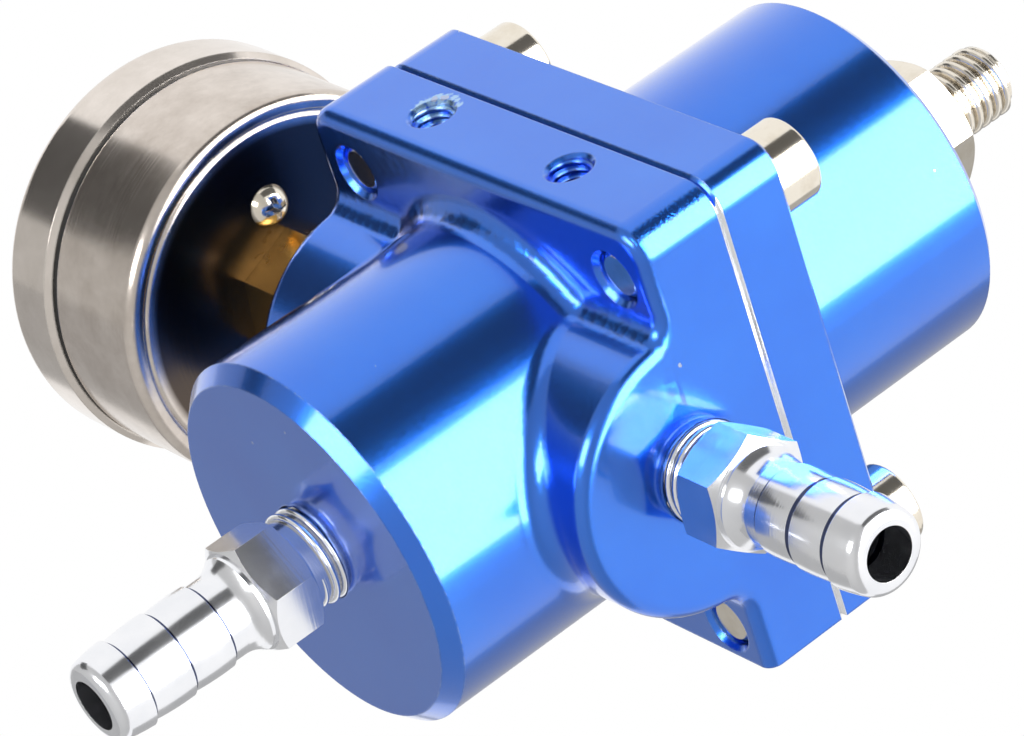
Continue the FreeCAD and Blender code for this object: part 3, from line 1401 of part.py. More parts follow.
make_lower_body()
make_bonnet()
make_bonnet_screws()
make_diaphragm()
make_lower_plate()
make_spring_cup()
make_valve_stud()
make_valve_disc()
make_valve_seat()
make_main_spring()
make_spring_seat()
make_adjusting_screw()
make_lock_nut()
make_hose_tail("inlet_hose_tail", INLET_HEXAGON, FACING_RIGHT, S["inlet_gap"], INLET_TURN)
make_hose_tail("return_hose_tail", RETURN_HEXAGON, FACING_DOWN, S["return_gap"], RETURN_TURN)
make_vacuum_nipple()
make_gauge_case()
make_gauge_gasket()
make_gauge_bezel()
make_gauge_lens()
make_gauge_back_screws()
make_gauge_stem()
make_gauge_restrictor()
make_bourdon_tube()
make_bourdon_tip()
make_movement_plate("movement_back_plate", PLATE_LEVEL)
make_movement_plate("movement_front_plate", FRONT_LEVEL)
make_movement_pillars()
make_pinion_arbor()
make_sector_gear()
make_sector_pivot()
make_sector_link()
make_hairspring()
make_gauge_dial()
make_dial_screws()
make_gauge_pointer()

# Check and write

doc.recompute()
faults = [
    f"{item.Name}: {item.State}"
    for item in doc.Objects
    if "Invalid" in item.State or "Error" in item.State
]
for piece in pieces:
    shape = piece.Shape
    if shape.isNull() or not shape.isValid() or not shape.Solids:
        faults.append(f"{piece.Label}: no valid solid")
if faults:
    raise RuntimeError("; ".join(faults))

os.makedirs("parts", exist_ok=True)
for piece in pieces:
    piece.Shape.exportStep(os.path.join("parts", piece.Label + ".step"))
    box = piece.Shape.BoundBox
    print(f"{piece.Label:24s} solids {len(piece.Shape.Solids)} volume {piece.Shape.Volume:10.2f}"
          f" x {box.XMin:7.2f} {box.XMax:7.2f} y {box.YMin:7.2f} {box.YMax:7.2f}"
          f" z {box.ZMin:7.2f} {box.ZMax:7.2f}")
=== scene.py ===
# %% [markdown]
# A fuel pressure regulator: two blue anodised castings, two turned hose tails, a locked
# adjusting screw and a small dial gauge on the far side. The shapes come from the packed
# model, in metres. This lesson gives them finishes, cuts the screw threads, prints the
# dial and sets up a studio with the camera below the part, looking up at it.

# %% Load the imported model
import bmesh
import bpy
import math
from mathutils import Matrix, Vector


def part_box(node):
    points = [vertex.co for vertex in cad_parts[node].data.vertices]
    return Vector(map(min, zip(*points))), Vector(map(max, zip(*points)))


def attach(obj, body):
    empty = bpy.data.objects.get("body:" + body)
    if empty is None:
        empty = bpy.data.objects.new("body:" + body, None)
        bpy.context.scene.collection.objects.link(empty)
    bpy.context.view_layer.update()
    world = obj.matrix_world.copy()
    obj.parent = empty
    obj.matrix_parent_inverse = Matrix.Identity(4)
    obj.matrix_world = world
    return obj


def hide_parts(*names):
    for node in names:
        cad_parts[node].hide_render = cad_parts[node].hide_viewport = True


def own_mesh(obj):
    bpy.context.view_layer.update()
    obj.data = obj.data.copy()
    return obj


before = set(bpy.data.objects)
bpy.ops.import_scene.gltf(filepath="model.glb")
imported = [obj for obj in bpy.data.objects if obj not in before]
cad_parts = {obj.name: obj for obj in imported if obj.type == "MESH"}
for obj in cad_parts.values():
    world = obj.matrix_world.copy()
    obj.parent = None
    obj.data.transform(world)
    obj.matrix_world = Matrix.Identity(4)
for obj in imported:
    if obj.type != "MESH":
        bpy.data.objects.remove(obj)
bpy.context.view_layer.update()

# %% [markdown]
# Every finish and every Geometry Nodes tree is a small graph. One function adds a node,
# gives it its settings and joins its inputs, so that each graph can be read from top to
# bottom. Colours are written as sRGB hex values, as a paint chart gives them, and a second
# function turns them into the linear numbers that the renderer counts with.

# %% Two helpers
MM = 0.001


def add(tree, kind, settings=None, links=None):
    """Add one node; a key is an input's name or number, else a property."""
    node = tree.nodes.new(kind)
    for key, value in (settings or {}).items():
        if isinstance(key, int) or key in node.inputs:
            node.inputs[key].default_value = value
        else:
            setattr(node, key, value)
    for key, source in (links or {}).items():
        tree.links.new(source, node.inputs[key])
    return node


def colour(code):
    """sRGB hex to linear, with full opacity."""
    parts = [int(code[i:i + 2], 16) / 255 for i in (1, 3, 5)]
    return [v / 12.92 if v <= 0.04045 else ((v + 0.055) / 1.055) ** 2.4 for v in parts] + [1.0]


print("middle grey is", round(colour("#808080")[0], 3))

# %% [markdown]
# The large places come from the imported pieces, not from numbers typed here. The return
# tail stands on the main axis, the inlet tail on the cross axis that the gauge shares, and
# the ends of the case, the dial and the screw are the ends of their boxes. Smaller places,
# such as the chips and the threads' starts, are written where they are used. The model is
# in metres, a maker thinks in millimetres, so all of these are in millimetres.

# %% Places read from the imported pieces


def box_mm(node):
    """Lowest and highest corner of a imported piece, in millimetres."""
    return [[value / MM for value in corner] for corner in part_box(node)]


def middle_mm(node):
    low, high = box_mm(node)
    return [(a + b) / 2 for a, b in zip(low, high)]


MAIN_AXIS = tuple(middle_mm("return_hose_tail")[:2])
PORT_AXIS = tuple(middle_mm("inlet_hose_tail")[1:])
print("main axis at", [round(v, 2) for v in MAIN_AXIS], "port axis at", [round(v, 2) for v in PORT_AXIS])

# %% [markdown]
# A machined metal part is never a single colour. Its surface comes from a tool, so each
# finish starts with the same things: a shader, coordinates in millimetres, and the angle
# between the true surface and one with softly rounded edges, which tells where an edge is.
# Real edges are broken by a few tenths of a millimetre, and that is where they catch light.

# %% A finish's first nodes
MATH = "ShaderNodeMath"
NOISE = "ShaderNodeTexNoise"
RANGE = "ShaderNodeMapRange"
MIX = "ShaderNodeMix"
VECTOR = "ShaderNodeVectorMath"


def start_finish(name, edge=0.2):
    """A material with its shader, millimetre coordinates, edge normal and edge mask."""
    material = bpy.data.materials.new(name)
    material.use_nodes = True
    tree = material.node_tree
    shader = tree.nodes["Principled BSDF"]
    place = add(tree, "ShaderNodeTexCoord")
    mm = add(tree, VECTOR, {"operation": "SCALE", "Scale": 1000.0}, {0: place.outputs["Object"]})
    rounded = add(tree, "ShaderNodeBevel", {"samples": 2, "Radius": edge * MM})
    flat = add(tree, "ShaderNodeNewGeometry")
    meet = add(tree, VECTOR, {"operation": "DOT_PRODUCT"},
               {0: rounded.outputs[0], 1: flat.outputs["True Normal"]})
    worn = add(tree, RANGE, {"From Min": 0.985, "From Max": 0.86}, {"Value": meet.outputs["Value"]})
    return material, tree, shader, mm.outputs[0], rounded.outputs[0], worn.outputs[0]


def set_shader(shader, **values):
    for name, value in values.items():
        shader.inputs[name.replace("_", " ")].default_value = value


print("finishes are drawn in millimetres")

# %% [markdown]
# Anodised aluminium is metal seen through a clear hard layer that holds a blue dye. So the
# base is a metal with a strong blue reflection, and a coat over it gives the white gleam at
# a low angle. The blasted or milled surface below makes both reflections a little soft.
# Handling breaks the layer on sharp edges and in small chips, where bare metal shows.

# %% Blue anodised aluminium
BLUE_WORN = "#8fb2f2"
BARE = "#a9b8dc"
JOINT = (25.2, 0.0, 4.16)
SCUFFED_HOLE = (-10.8, 0.0, 0.8)
SHAKE = 0.9


def anodised(name, chips, tool_marks=False):
    """chips are small places (x, y, z, size) in mm where the blue layer is gone.

    Noise moves their outlines by up to half of SHAKE. A near-white band along the joint on
    the inlet's side is a painted highlight of the joint's edge.
    """
    material, tree, shader, mm, normal, worn = start_finish(name, edge=0.3)
    cloud = add(tree, NOISE, {"Scale": 0.09, "Detail": 3.0}, {"Vector": mm})
    grain = add(tree, NOISE, {"Scale": 2.6, "Detail": 6.0, "Roughness": 0.65}, {"Vector": mm})
    ragged = add(tree, NOISE, {"Scale": 1.4, "Detail": 4.0}, {"Vector": mm})
    tint = add(tree, MIX, {"data_type": "RGBA", 6: colour("#1f6be2"), 7: colour("#2c80f2")},
               {0: cloud.outputs[0]})
    rub = add(tree, RANGE, {"From Min": 0.42, "From Max": 0.62}, {"Value": ragged.outputs[0]})
    edge = add(tree, MATH, {"operation": "MULTIPLY"}, {0: worn, 1: rub.outputs[0]})
    paler = add(tree, MIX, {"data_type": "RGBA", 7: colour(BLUE_WORN)},
                {0: edge.outputs[0], 6: tint.outputs[2]})
    shake = add(tree, VECTOR, {"operation": "MULTIPLY_ADD", 1: (SHAKE, SHAKE, SHAKE)},
                {0: ragged.outputs["Color"], 2: mm})
    chipped = None
    for x, y, z, size in chips:
        centre = (x + SHAKE / 2, y + SHAKE / 2, z + SHAKE / 2)
        away = add(tree, VECTOR, {"operation": "DISTANCE", 1: centre}, {0: shake.outputs[0]})
        spot = add(tree, MATH, {"operation": "LESS_THAN", 1: size}, {0: away.outputs["Value"]})
        if chipped:
            spot = add(tree, MATH, {"operation": "MAXIMUM"},
                       {0: chipped.outputs[0], 1: spot.outputs[0]})
        chipped = spot
    from_hole = add(tree, VECTOR, {"operation": "DISTANCE", 1: SCUFFED_HOLE}, {0: mm})
    round_hole = add(tree, RANGE, {"From Min": 3.5, "From Max": 2.2},
                     {"Value": from_hole.outputs["Value"]})
    scuff = add(tree, MATH, {"operation": "MULTIPLY"}, {0: round_hole.outputs[0], 1: ragged.outputs[0]})
    scuffed = add(tree, RANGE, {"From Min": 0.36, "From Max": 0.5}, {"Value": scuff.outputs[0]})
    rubbed = add(tree, MIX, {"data_type": "RGBA", 7: colour("#9cc6f2")},
                 {0: scuffed.outputs[0], 6: paler.outputs[2]})
    chips_and_painted_highlight = add(tree, MIX, {"data_type": "RGBA", 7: colour(BARE)},
               {0: chipped.outputs[0], 6: rubbed.outputs[2]})
    axes = add(tree, "ShaderNodeSeparateXYZ", {}, {0: mm})
    # Painted highlight: a near-white band along the joint on the inlet's side stands for light on the
    # joint's edge.
    joint = add(tree, MATH, {"operation": "COMPARE", 1: JOINT[2], 2: 0.36}, {0: axes.outputs[2]})
    inlet_side = add(tree, MATH, {"operation": "GREATER_THAN", 1: JOINT[0]}, {0: axes.outputs[0]})
    painted_highlight_band = add(tree, MATH, {"operation": "MULTIPLY"}, {0: joint.outputs[0], 1: inlet_side.outputs[0]})
    chips_and_painted_highlight = add(tree, MIX, {"data_type": "RGBA", 7: colour("#f4f6fa")},
               {0: painted_highlight_band.outputs[0], 6: chips_and_painted_highlight.outputs[2]})
    soft = add(tree, RANGE, {"To Min": 0.16, "To Max": 0.27}, {"Value": grain.outputs[0]})
    height = grain.outputs[0]
    if tool_marks:
        height = mill_marks(tree, mm, height)
    deep = add(tree, MATH, {"operation": "MULTIPLY_ADD", 1: -3.0},
               {0: chipped.outputs[0], 2: height})
    bump = add(tree, "ShaderNodeBump", {"Strength": 0.55, "Distance": 0.012 * MM},
               {"Height": deep.outputs[0], "Normal": normal})
    set_shader(shader, Metallic=1.0, Coat_Weight=1.0, Coat_IOR=1.6, Coat_Roughness=0.09)
    tree.links.new(chips_and_painted_highlight.outputs[2], shader.inputs["Base Color"])
    tree.links.new(soft.outputs[0], shader.inputs["Roughness"])
    tree.links.new(bump.outputs[0], shader.inputs["Normal"])
    tree.links.new(normal, shader.inputs["Coat Normal"])
    return material


print("blue anodised layer over", BARE)

# %% [markdown]
# The lower casting's flange was milled round the barrel with a ball cutter. Each pass left
# a small scallop in the fillet under the flange, and the upright corner beside the bracket
# face has chatter marks. Both are places on the part, so position in millimetres picks
# them out, and waves across the cutter's path give their height.

# %% Cutter marks on the lower casting
FLANGE_UNDER = -5.14
CORNER = (24.4, 1.4)


def mill_marks(tree, mm, height):
    """Scallops under the flange and chatter marks on its front right corner."""
    axes = add(tree, "ShaderNodeSeparateXYZ", {}, {0: mm})
    below = add(tree, RANGE, {"From Min": FLANGE_UNDER + 0.1, "From Max": FLANGE_UNDER - 0.3},
                {"Value": axes.outputs[2]})
    above = add(tree, RANGE, {"From Min": FLANGE_UNDER - 2.4, "From Max": FLANGE_UNDER - 1.2},
                {"Value": axes.outputs[2]})
    band = add(tree, MATH, {"operation": "MULTIPLY"}, {0: below.outputs[0], 1: above.outputs[0]})
    scallop = add(tree, "ShaderNodeTexVoronoi", {"Scale": 0.75, "Randomness": 0.8}, {"Vector": mm})
    fillet = add(tree, MATH, {"operation": "MULTIPLY"}, {0: band.outputs[0], 1: scallop.outputs[0]})
    from_side = add(tree, MATH, {"operation": "SUBTRACT", 1: CORNER[0]}, {0: axes.outputs[0]})
    from_front = add(tree, MATH, {"operation": "SUBTRACT", 0: CORNER[1]}, {1: axes.outputs[1]})
    near = add(tree, MATH, {"operation": "MINIMUM"}, {0: from_side.outputs[0], 1: from_front.outputs[0]})
    corner = add(tree, RANGE, {"From Min": -0.8, "From Max": -0.1}, {"Value": near.outputs[0]})
    chatter = add(tree, "ShaderNodeTexWave", {"bands_direction": "Z", "Scale": 0.55, "Distortion": 6.0,
                                              "Detail": 3.0, "Detail Scale": 2.0}, {"Vector": mm})
    rough = add(tree, MATH, {"operation": "MULTIPLY"}, {0: corner.outputs[0], 1: chatter.outputs[1]})
    first = add(tree, MATH, {"operation": "MULTIPLY_ADD", 1: 9.0}, {0: fillet.outputs[0], 2: height})
    both = add(tree, MATH, {"operation": "MULTIPLY_ADD", 1: 4.0}, {0: rough.outputs[0], 2: first.outputs[0]})
    return both.outputs[0]


BODY_CHIPS = [(-11.5, 0.0, 2.5, 0.4), (-12.3, 0.0, 1.9, 0.35), (-9.4, 7.6, -15.0, 0.25),
              (-7.8, 7.2, -17.2, 0.2), (-6.9, 7.4, -14.2, 0.16), (25.6, 14.0, -4.6, 0.2),
              (8.0, 7.2, -24.0, 0.16), (-3.0, 14.0, -32.74, 0.18), (4.0, 10.5, -32.74, 0.15)]
BONNET_CHIPS = [(18.3, 18.0, 33.0, 0.22), (-20.0, 0.0, 11.3, 0.25)]
finish = {
    "lower_body": anodised("blue_anodised_body", BODY_CHIPS, tool_marks=True),
    "bonnet": anodised("blue_anodised_bonnet", BONNET_CHIPS),
}
print("blue finishes", list(finish))

# %% [markdown]
# The hose tails are turned from bar and only clear anodised, so they look nearly white.
# A lathe leaves rings round the axis, about a tenth of a millimetre apart. They are too
# fine to show at this distance, so they are drawn about 0.25 mm apart: noise that changes
# only along the axis gives them. Each tail has its own axis and so its own material.
# A thin dark line in the corner behind each barb, every 4.65 mm, is painted shade.

# %% Turned aluminium
BARB_PITCH = 4.65


def turned_aluminium(name, axis, first_barb, back, line):
    """Places in mm along the axis; back is 1 or -1 towards the hexagon, line a painted shade line's width.
    """
    material, tree, shader, mm, normal, worn = start_finish(name, edge=0.05)
    axes = add(tree, "ShaderNodeSeparateXYZ", {}, {0: mm})
    rings = add(tree, NOISE, {"noise_dimensions": "1D", "Scale": 4.0, "Detail": 2.0},
                {"W": axes.outputs[axis]})
    cloud = add(tree, NOISE, {"Scale": 0.35, "Detail": 4.0}, {"Vector": mm})
    tint = add(tree, MIX, {"data_type": "RGBA", 6: colour("#e9ebf0"), 7: colour("#fcfcfe")},
               {0: cloud.outputs[0]})
    offset = add(tree, MATH, {"operation": "MULTIPLY_ADD", 1: back, 2: -first_barb * back},
                 {0: axes.outputs[axis]})
    step = add(tree, MATH, {"operation": "FLOORED_MODULO", 1: BARB_PITCH}, {0: offset.outputs[0]})
    # Painted shade: a thin dark line in the corner behind each barb, where the barb shades the neck.
    corner = add(tree, MATH, {"operation": "LESS_THAN", 1: line}, {0: step.outputs[0]})
    barbs = add(tree, MATH, {"operation": "COMPARE", 1: BARB_PITCH, 2: BARB_PITCH + 0.4},
                {0: offset.outputs[0]})
    painted_shade_lines = add(tree, MATH, {"operation": "MULTIPLY"}, {0: corner.outputs[0], 1: barbs.outputs[0]})
    tint_with_painted_shade = add(tree, MIX, {"data_type": "RGBA", 7: colour("#4a5170")},
                {0: painted_shade_lines.outputs[0], 6: tint.outputs[2]})
    brighter = add(tree, MIX, {"data_type": "RGBA", 7: colour("#fbfbfc")},
                   {0: worn, 6: tint_with_painted_shade.outputs[2]})
    soft = add(tree, RANGE, {"To Min": 0.1, "To Max": 0.24}, {"Value": cloud.outputs[0]})
    bump = add(tree, "ShaderNodeBump", {"Strength": 0.4, "Distance": 0.01 * MM},
               {"Height": rings.outputs[0], "Normal": normal})
    set_shader(shader, Metallic=1.0)
    tree.links.new(brighter.outputs[2], shader.inputs["Base Color"])
    tree.links.new(soft.outputs[0], shader.inputs["Roughness"])
    tree.links.new(bump.outputs[0], shader.inputs["Normal"])
    return material


finish["inlet_hose_tail"] = turned_aluminium(
    "turned_aluminium_across", axis=0, first_barb=46.9, back=-1, line=0.7)
finish["return_hose_tail"] = turned_aluminium(
    "turned_aluminium_upright", axis=2, first_barb=-54.69, back=1, line=0.3)
print("hose tails", len(finish))

# %% [markdown]
# Most other metal pieces differ in colour, softness and how stained they are, not in kind.
# One recipe serves them: a clean and a stained colour mixed by noise, paler worn edges, a
# fine grain in roughness and height. The numbers come from the metal: nickel plate is warm
# and smooth, brass yellow with brown stain, spring steel dark with oil, zinc plate spotted.

# %% Plated, machined and drawn metals


def plain_metal(name, clean, stained, soft, stain_size=0.4, stain=0.5, grain=0.008, edge=0.12):
    material, tree, shader, mm, normal, worn = start_finish(name, edge)
    cloud = add(tree, NOISE, {"Scale": stain_size, "Detail": 5.0, "Roughness": 0.6}, {"Vector": mm})
    fine = add(tree, NOISE, {"Scale": 4.5, "Detail": 3.0}, {"Vector": mm})
    patch = add(tree, RANGE, {"From Min": 0.45, "From Max": 0.75, "To Max": stain},
                {"Value": cloud.outputs[0]})
    tint = add(tree, MIX, {"data_type": "RGBA", 6: colour(clean), 7: colour(stained)},
               {0: patch.outputs[0]})
    lighter = add(tree, MIX, {"data_type": "RGBA", "blend_type": "SCREEN", 7: colour("#9a9a9a")},
                  {0: worn, 6: tint.outputs[2]})
    gloss = add(tree, RANGE, {"To Min": soft * 0.75, "To Max": soft * 1.35},
                {"Value": cloud.outputs[0]})
    bump = add(tree, "ShaderNodeBump", {"Strength": 0.4, "Distance": grain * MM},
               {"Height": fine.outputs[0], "Normal": normal})
    set_shader(shader, Metallic=1.0)
    tree.links.new(lighter.outputs[2], shader.inputs["Base Color"])
    tree.links.new(gloss.outputs[0], shader.inputs["Roughness"])
    tree.links.new(bump.outputs[0], shader.inputs["Normal"])
    return material


nickel = plain_metal("nickel_plated_steel", "#f0e8da", "#d6c9b2", soft=0.12, grain=0.005)
brass = plain_metal("machined_brass", "#dcb469", "#a57c3c", soft=0.24)
spring_steel = plain_metal("oiled_spring_wire", "#8b8b90", "#55555a", soft=0.3, stain=0.7)
zinc = plain_metal("zinc_plated_pressing", "#c4c6c3", "#94989a", soft=0.32, stain_size=1.1, stain=0.8)
bronze = plain_metal("drawn_bronze_tube", "#c98a55", "#8c5a35", soft=0.22, stain_size=0.7)
blued = plain_metal("hardened_arbor_steel", "#a9adb5", "#7b8089", soft=0.16, grain=0.003)
for node in ("bonnet_screws", "lock_nut", "gauge_back_screws", "dial_screws"):
    finish[node] = nickel
for node in ("valve_stud", "valve_seat", "vacuum_nipple", "gauge_stem", "gauge_restrictor",
             "bourdon_tip", "movement_back_plate", "movement_front_plate", "movement_pillars",
             "sector_gear", "sector_link"):
    finish[node] = brass
for node in ("diaphragm_lower_plate", "diaphragm_spring_cup", "spring_seat"):
    finish[node] = zinc
finish.update({"main_spring": spring_steel, "bourdon_tube": bronze, "hairspring": bronze,
               "pinion_arbor": blued, "sector_pivot_pin": blued, "adjusting_screw": nickel})
print("metal pieces", len(finish))

# %% [markdown]
# The gauge's case is deep drawn from stainless sheet and brushed while it spins, so its
# lines run round the axis on the wall and in rings on the back. Both follow from two
# numbers, the distance along the axis and the distance from it. The bezel is polished
# brighter than the case, which is slightly mottled from handling. The flat back inside the
# groove is painted dark brown, a painted dark reflection in its polished face.

# %% Spun and brushed stainless sheet
GAUGE_CENTRE = (0.0, *PORT_AXIS)
PAINTED_BACK_RADIUS = (17.6, 16.8)
PAINTED_BACK_FROM = (-41.0, -40.6)


def spun_stainless(name, light, dark, soft, lines):
    material, tree, shader, mm, normal, worn = start_finish(name, edge=0.25)
    local = add(tree, VECTOR, {"operation": "SUBTRACT", 1: GAUGE_CENTRE}, {0: mm})
    axes = add(tree, "ShaderNodeSeparateXYZ", {}, {0: local.outputs[0]})
    across = add(tree, VECTOR, {"operation": "MULTIPLY", 1: (0.0, 1.0, 1.0)}, {0: local.outputs[0]})
    reach = add(tree, VECTOR, {"operation": "LENGTH"}, {0: across.outputs[0]})
    both = add(tree, MATH, {"operation": "ADD"}, {0: axes.outputs[0], 1: reach.outputs["Value"]})
    rings = add(tree, NOISE, {"noise_dimensions": "1D", "Scale": 5.0, "Detail": 3.0},
                {"W": both.outputs[0]})
    cloud = add(tree, NOISE, {"Scale": 0.22, "Detail": 5.0, "Roughness": 0.65}, {"Vector": mm})
    patch = add(tree, RANGE, {"From Min": 0.35, "From Max": 0.7}, {"Value": cloud.outputs[0]})
    tint = add(tree, MIX, {"data_type": "RGBA", 6: colour(light), 7: colour(dark)},
               {0: patch.outputs[0]})
    polished = add(tree, MIX, {"data_type": "RGBA", 7: colour("#efe9e0")},
                   {0: worn, 6: tint.outputs[2]})
    # Painted reflection: the flat back inside the groove is painted dark brown.
    inside = add(tree, RANGE, {"From Min": PAINTED_BACK_RADIUS[0], "From Max": PAINTED_BACK_RADIUS[1]},
                 {"Value": reach.outputs["Value"]})
    behind = add(tree, RANGE, {"From Min": PAINTED_BACK_FROM[0], "From Max": PAINTED_BACK_FROM[1]},
                 {"Value": axes.outputs[0]})
    back = add(tree, MATH, {"operation": "MULTIPLY"}, {0: inside.outputs[0], 1: behind.outputs[0]})
    polished = add(tree, MIX, {"data_type": "RGBA", 7: colour("#5c524b")},
                   {0: back.outputs[0], 6: polished.outputs[2]})
    gloss = add(tree, RANGE, {"To Min": soft * 0.7, "To Max": soft * 1.4},
                {"Value": rings.outputs[0]})
    bump = add(tree, "ShaderNodeBump", {"Strength": lines, "Distance": 0.01 * MM},
               {"Height": rings.outputs[0], "Normal": normal})
    set_shader(shader, Metallic=1.0)
    tree.links.new(polished.outputs[2], shader.inputs["Base Color"])
    tree.links.new(gloss.outputs[0], shader.inputs["Roughness"])
    tree.links.new(bump.outputs[0], shader.inputs["Normal"])
    return material


finish["gauge_case"] = spun_stainless("brushed_stainless_case", "#e2d8cf", "#c9beb4",
                                      soft=0.17, lines=0.35)
finish["gauge_bezel"] = spun_stainless("polished_stainless_bezel", "#eae1d9", "#dbd2c9",
                                       soft=0.13, lines=0.2)
print("gauge shell finished")

# %% [markdown]
# What isn't metal is rubber, clear plastic and paint. Rubber is a dull dielectric with a
# fine moulded grain. The window lets light through and has faint wiping marks in its
# roughness. The dial is white lacquer on sheet with a slight orange-peel height, and the
# pointer and the printing are black lacquer.

# %% Rubber, window and lacquers


def lacquer(name, light, dark, soft, size, height, ior=1.5):
    material, tree, shader, mm, normal, _ = start_finish(name, edge=0.1)
    cloud = add(tree, NOISE, {"Scale": size, "Detail": 4.0}, {"Vector": mm})
    tint = add(tree, MIX, {"data_type": "RGBA", 6: colour(light), 7: colour(dark)},
               {0: cloud.outputs[0]})
    gloss = add(tree, RANGE, {"To Min": soft * 0.8, "To Max": soft * 1.2},
                {"Value": cloud.outputs[0]})
    bump = add(tree, "ShaderNodeBump", {"Strength": 0.5, "Distance": height * MM},
               {"Height": cloud.outputs[0], "Normal": normal})
    set_shader(shader, IOR=ior)
    tree.links.new(tint.outputs[2], shader.inputs["Base Color"])
    tree.links.new(gloss.outputs[0], shader.inputs["Roughness"])
    tree.links.new(bump.outputs[0], shader.inputs["Normal"])
    return material


rubber = lacquer("moulded_black_rubber", "#0c0c0c", "#1b1b1b", soft=0.6, size=3.0, height=0.02, ior=1.52)
white = lacquer("white_dial_lacquer", "#f2f1eb", "#e9e8e1", soft=0.4, size=1.2, height=0.006)
black = lacquer("black_lacquer", "#0b0b0c", "#161617", soft=0.3, size=2.0, height=0.004)
window, tree, shader, mm = start_finish("clear_window", edge=0.1)[:4]
wiped = add(tree, NOISE, {"Scale": 0.5, "Detail": 6.0, "Distortion": 1.5}, {"Vector": mm})
wipe = add(tree, RANGE, {"From Min": 0.5, "From Max": 0.8, "To Min": 0.01, "To Max": 0.08},
           {"Value": wiped.outputs[0]})
tree.links.new(wipe.outputs[0], shader.inputs["Roughness"])
set_shader(shader, Base_Color=colour("#f6fafa"), IOR=1.49, Transmission_Weight=1.0)
for node in ("diaphragm", "valve_disc", "gauge_gasket"):
    finish[node] = rubber
finish.update({"gauge_lens": window, "gauge_dial": white, "gauge_pointer": black})
for name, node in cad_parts.items():
    for slot in node.material_slots:
        slot.material = finish[name]
print("finished nodes", len(finish), "of", len(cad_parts))

# %% [markdown]
# A screw thread is a ridge that climbs round a core by one pitch each turn. It could be
# modelled face by face, but it follows a rule, so Geometry Nodes make it. A spiral curve
# carries a trapezoid whose flanks meet at about 60 degrees, as on a metric thread. The curve
# is reversed, because the plain one is left-handed and common screws are right-handed. The
# trapezoid's offset is set to nothing, because it starts at 1 and would make the ridge lean.
# Its foot and crest are shares of the pitch, and it is raised by a share of its depth, so
# that its foot lies just inside the core. Side 1 points it outward as on a bolt, and -1
# inward as in a nut. Near the ends the ridge sinks into the core, as a die leaves it. The
# result is turned into a plain mesh.

# %% A thread ridge by Geometry Nodes
RIDGE_FOOT = 0.94
RIDGE_CREST = 0.3
RIDGE_RAISE = 0.46


